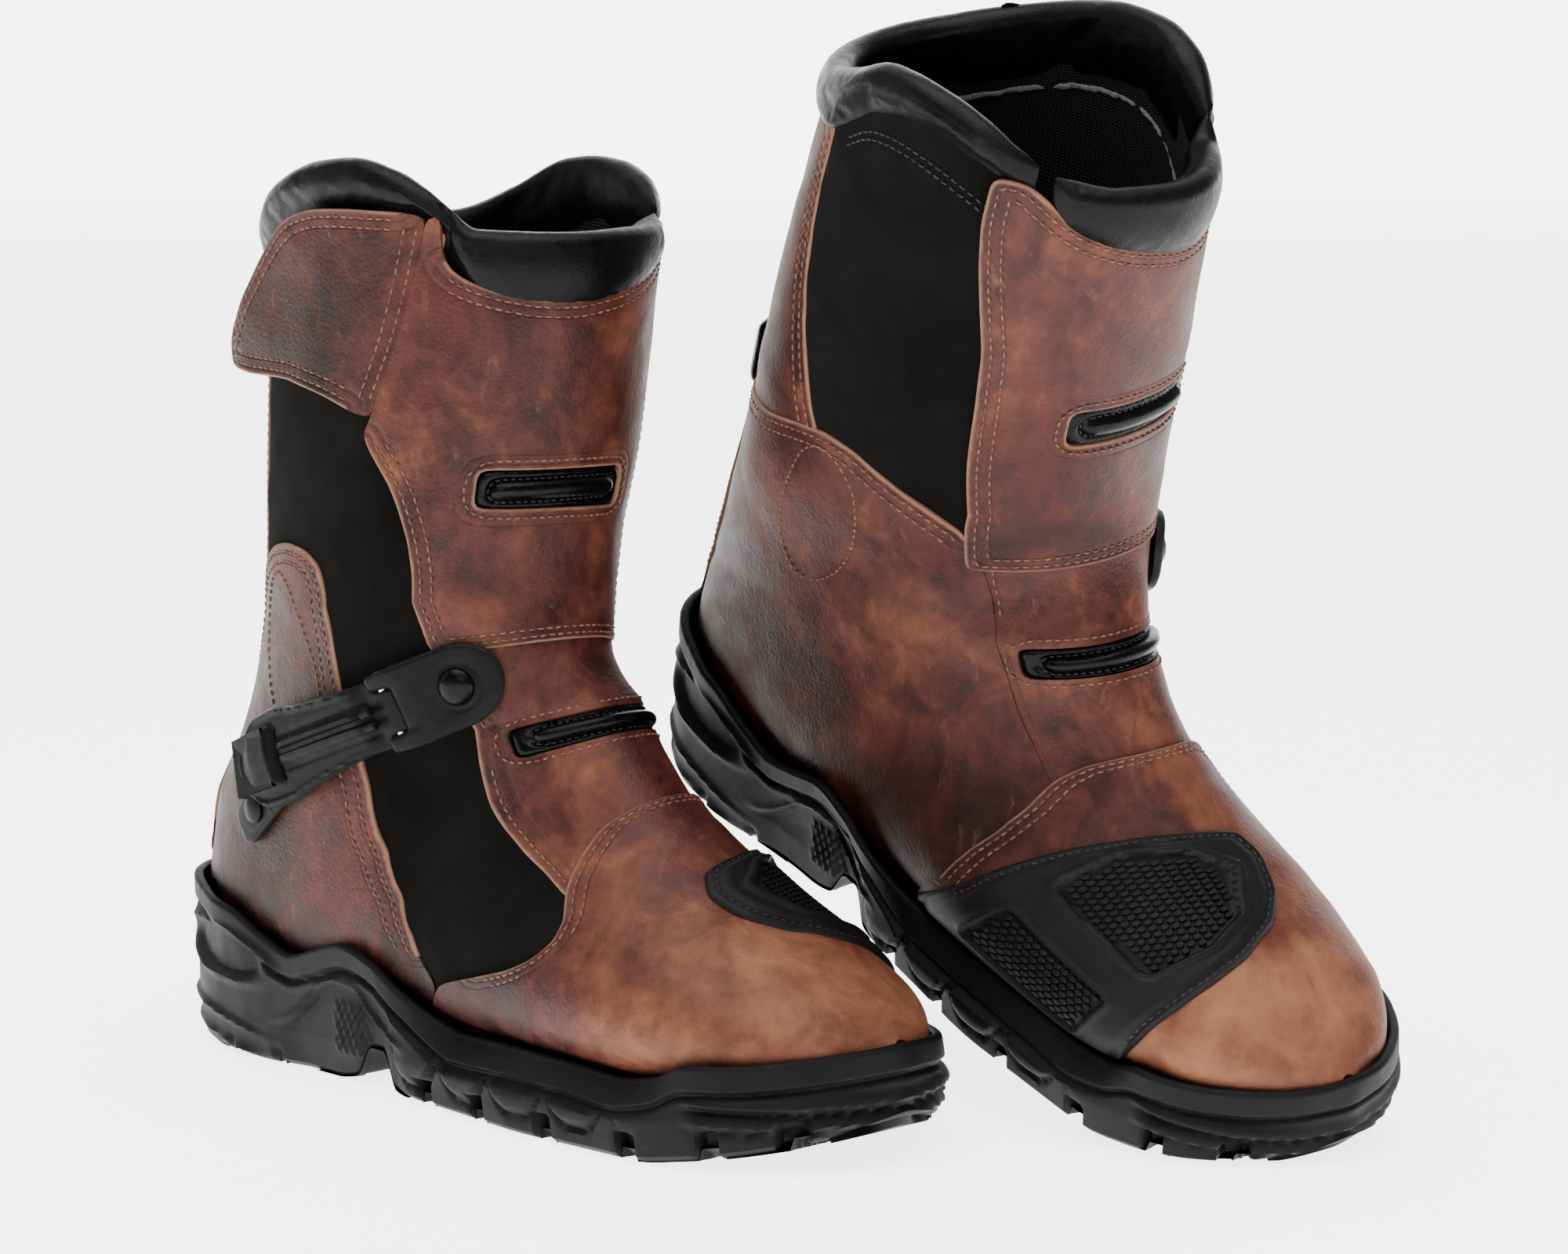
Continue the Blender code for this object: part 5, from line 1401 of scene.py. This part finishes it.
# ---- buckle -------------------------------------------------------------------------------------
def rounded_box(points, spacing, passes):
    return ease(resample(np.array(points, float), spacing, True), passes, True)


def build_buckle():
    track, strap = Track(BUCKLE_PATH), Track(STRAP_PATH)
    # tab: rounded front, shoulders and ears at the back
    a = np.linspace(-math.pi / 2, math.pi / 2, 24)
    front = np.stack([13 - 13.4 * np.cos(a), -13 * np.sin(a)], -1)
    outline = rounded_box(np.vstack([front, [(30, -13), (38.6, -12.6), (38.6, -7.6), (31.0, -7.4),
                                             (31.0, 7.4), (38.6, 7.6),
                                             (38.6, 12.6), (30, 13)]]), 0.8, 4)
    hole = np.stack([13 + 2.9 * np.cos(np.linspace(0, 6.283, 24, endpoint=False)),
                     2.9 * np.sin(np.linspace(0, 6.283, 24, endpoint=False))], -1)

    def tab_top(xy, d):
        s, w = xy[:, 0], np.abs(xy[:, 1])
        h = 7.3 + 3.9 * step(s, 12, 30) + 0.7 * step(s, 24, 31) * step(w, 6.4, 8.8)
        h = h - 0.5 * bump(np.hypot(s - 13, w), 7.2, 0.7) * step(-s, -20, -14)
        return h - 1.0 * (1 - np.sqrt(1 - (1 - np.clip(d / 1.3, 0, 1)) ** 2 * 0.95))
    part = solid(outline, tab_top, lambda xy, d: np.full(len(xy), 4.6), track, [hole], 0.9,
                 (0.35, 0.9))
    put("buckle_tab", part, PLASTIC, "tab", ["buckle_tab"], sharp=50)
    put("tab_rivet", turned([(2.6, 3.9), (2.6, 7.0), (5.4, 7.05), (6.0, 7.5), (6.0, 7.9),
                             (5.6, 8.5),
                             (4.8, 9.3), (3.6, 10.0), (2.2, 10.5), (0.9, 10.7), (0.05, 10.75)],
                            tab_point, tab_normal, 40), INSERT_MAT,
        replaces=["tab_rivet"], sharp=40)
    pin_p, _, pin_side, pin_n = cad_frame(BUCKLE_PATH, LEVER_PIN_S)
    centre = pin_p + pin_n * LEVER_PIN_H
    put("hinge_pin", turned([(0.9, -12.9), (1.5, -12.6), (1.5, 12.6),
                             (0.9, 12.9)], centre, pin_side,
                            24), STEEL_BRIGHT, "tab", ["hinge_pin"])

    # lever: knuckle round the pin, two rails along a roof-shaped body, housing at the end
    lever_half = table([(31, 7), (38, 7), (39.6, 11.2), (46, 11), (60, 11.8), (74, 13.4),
                        (86, 15.4),
                        (95, 15.2), (101, 13), (104, 9.5)])
    ss = np.linspace(31.2, 104.0, 90)
    outline = np.vstack([np.stack([ss, lever_half(ss)], -1),
                         np.stack([ss, -lever_half(ss)], -1)[::-1]])
    outline = rounded_box(outline, 0.8, 3)

    def lever_top(xy, d):
        s, w = xy[:, 0], np.abs(xy[:, 1])
        body, long = step(s, 40, 47), step(s, 40, 43) * step(-s, -86, -80)
        h = 9.9 + 1.0 * body + 2.3 * (1 - np.clip(w / lever_half(s), 0, 1) ** 1.6) * body
        h = h + 0.9 * bump(s, 35, 4.0) * (1 - body)
        h = h + 1.5 * (step(w, 0.8, 1.3) - step(w, 3.1, 3.9)) * long
        h = h - 0.7 * bump(w, 5.4, 0.9) * long
        h = h + 2.6 * step(s, 84.5, 88) * (1 - step(w, 8.5, 10.5)) * (1 - 0.5 * step(s, 96, 104))
        h = h - 2.0 * bump(s, 85.0, 0.7) * (1 - step(w, 8.0, 9.0))
        h = h + 0.9 * bump(d, 1.3, 0.7) * step(s, 44, 52)
        return h - 1.0 * (1 - np.sqrt(1 - (1 - np.clip(d / 1.2, 0, 1)) ** 2 * 0.95))

    def lever_bottom(xy, d):
        s = xy[:, 0]
        return np.where(s < 38.6, 8.8 - np.sqrt(np.clip(11.5 - (s - 35) ** 2, 0.2, 12)), 7.7)
    body = solid(outline, lever_top, lever_bottom, track, (), 0.8, (0.4, 1.0))

    # catch: an open box standing out of the lever's end
    def box(s0, s1, w0, w1, h0, h1, taper=1.0):
        corners = [(s0, w0, h0), (s0, w1, h0), (s0, w1, h1), (s0, w0, h1)]
        far = [(s1, (w0 + w1) / 2 + (w - (w0 + w1) / 2) * taper, h) for _, w, h in corners]
        pts = np.array(corners + far)
        p = track(pts[:, :2], pts[:, 2])
        return {"points": p, "faces": [[0, 1, 2, 3], [7, 6, 5, 4], [0, 4, 5, 1], [1, 5, 6, 2],
                                       [2, 6, 7, 3], [3, 7, 4, 0]]}
    walls = [box(88, 106, -9.6, 9.6, 13.9, 15.2, 0.9), box(88, 106, -9.6, 9.6, 6.4, 7.6, 0.9),
             box(88, 106, -9.6, -8.4, 6.4, 15.2, 0.9), box(88, 106, 8.4, 9.6, 6.4, 15.2, 0.9)]
    put("buckle_catch", joined(*walls), PLASTIC, "lever", sharp=30)
    heads = []
    for w in (-2.2, 2.2):
        p, d, n = track.at(41.2)
        heads.append(turned([(0.9, -2.2), (1.5, -1.8), (1.5, 1.8), (0.9, 2.2)],
                            p + np.cross(n, d) * w + n * 13.2, d, 16))
    put("pin_heads", joined(*heads), PLASTIC, "lever")
    put("buckle_lever", body, PLASTIC, "lever", ["buckle_lever"], sharp=50)

    # strap under the lever and its boxy catch end
    outline = rounded_box([(0, -7.5), (52, -7.5), (56, -5), (56, 5), (52, 7.5), (0, 7.5)], 1.0, 3)

    def strap_top(xy, d):
        teeth = 0.55 * (0.5 + 0.5 * np.cos(xy[:, 0] * 2 * math.pi / 3.6)) * step(d, 1.4, 2.2) \
            * step(-xy[:, 0], -38, -36)
        return 6.1 + teeth - 0.6 * (1 - step(d, 0, 0.9))
    part = solid(outline, strap_top, below(6.1, 1.8), strap, (), 0.9, (0.5,))
    put("ladder_strap", part, PLASTIC, replaces=["ladder_strap"], sharp=50)
    p, _, _, nn = cad_frame(STRAP_PATH, 43.5)
    put("anchor_rivet", turned([(2.1, 3.9), (2.1, 6.2), (4.2, 6.3), (4.6, 6.8), (4.2, 7.5),
                                (2.6, 8.3),
                                (0.05, 8.6)], p, nn, 28), PLASTIC,
        replaces=["anchor_rivet"])


# ---- velcro patches under the flap --------------------------------------------------------------
def build_velcro():
    hook = loop([(.062, 88), (.066, 112), (.130, 118), (.138, 90)], passes=3)
    put("flap_hook", solid(hook, below(6.5, 0), below(6.5, 0.9)), VELCRO, "flap_body",
        ["flap_hook"])
    loop_patch = loop([(.052, 80), (.056, 116), (.142, 116), (.150, 82)], passes=3)
    put("flap_loop", solid(loop_patch, below(4.6, 0), below(4.6, 1.6)), VELCRO,
        replaces=["flap_loop"])


upper_window, lower_window = build_leather()
build_inserts(upper_window, lower_window)
build_collars()
build_lining()
build_outsole()
build_footbed()
build_shift_pad()
build_buckle()
build_velcro()
sew_everything(THREAD)

# hidden stiffeners and plates keep their CAD shape
for hidden, material in (("insole_board", BOARD), ("shank", STEEL), ("toe_puff", BOARD),
                         ("heel_counter", BOARD)):
    for side in ("right", "left"):
        node = frame["nodes"][f"{side}_{hidden}"]
        if not node.material_slots:
            node.data.materials.append(material)
        for s in node.material_slots:
            s.material = material

# ---- studio ---------------------------------------------------------------------------------
scene = bpy.context.scene
floor_mesh = bpy.data.meshes.new("floor")
floor_mesh.from_pydata([(-9, -9, 0), (9, -9, 0), (9, 9, 0), (-9, 9, 0), (-12, 2, -1), (-2, 12, -1),
                        (-2, 12, 9), (-12, 2, 9)], [], [(0, 1, 2, 3), (4, 5, 6, 7)])
floor = bpy.data.objects.new("floor", floor_mesh)
paper = Nodes("paper_floor", Roughness=0.9, Specular_IOR_Level=0.1, Emission_Strength=3.4)
paper.colour(paper.ramp(paper.noise(3.0, 2, 0.5), [(0.4, (0.93, 0.93, 0.93)),
                                                   (0.6, (0.95, 0.95, 0.95))]))
floor_mesh.materials.append(paper.material)
scene.collection.objects.link(floor)

world = bpy.data.worlds.new("studio")
world.use_nodes = True
world.node_tree.nodes["Background"].inputs["Color"].default_value = (1, 1, 1, 1)
world.node_tree.nodes["Background"].inputs["Strength"].default_value = 0.4
scene.world = world


def area_light(name, place, target, size, power):
    data = bpy.data.lights.new(name, "AREA")
    data.shape = "RECTANGLE"
    data.size, data.size_y = size
    data.energy = power
    lamp = bpy.data.objects.new(name, data)
    lamp.location = place
    lamp.rotation_euler = (Vector(target) - Vector(place)).to_track_quat("-Z", "Y").to_euler()
    scene.collection.objects.link(lamp)


area_light("top_soft", (0.25, -0.35, 2.3), (0, 0, 0.1), (2.4, 2.0), 95)
area_light("front_soft", (1.6, -1.7, 1.7), (0, 0, 0.15), (1.4, 1.2), 16)
area_light("left_soft", (-1.5, -1.3, 1.1), (0, 0, 0.15), (1.0, 1.4), 5)

camera_data = bpy.data.cameras.new("camera")
camera_data.lens, camera_data.sensor_width = 106.8, 36.0
camera = bpy.data.objects.new("camera", camera_data)
camera.location = ORIGIN + Vector((1.2141, -0.9712, 0.322))
camera.rotation_euler = (ORIGIN + Vector((0.2426, 0.0135, 0.152)) - camera.location).to_track_quat(
    "-Z", "Y").to_euler()
scene.collection.objects.link(camera)
scene.camera = camera

bpy.context.view_layer.update()
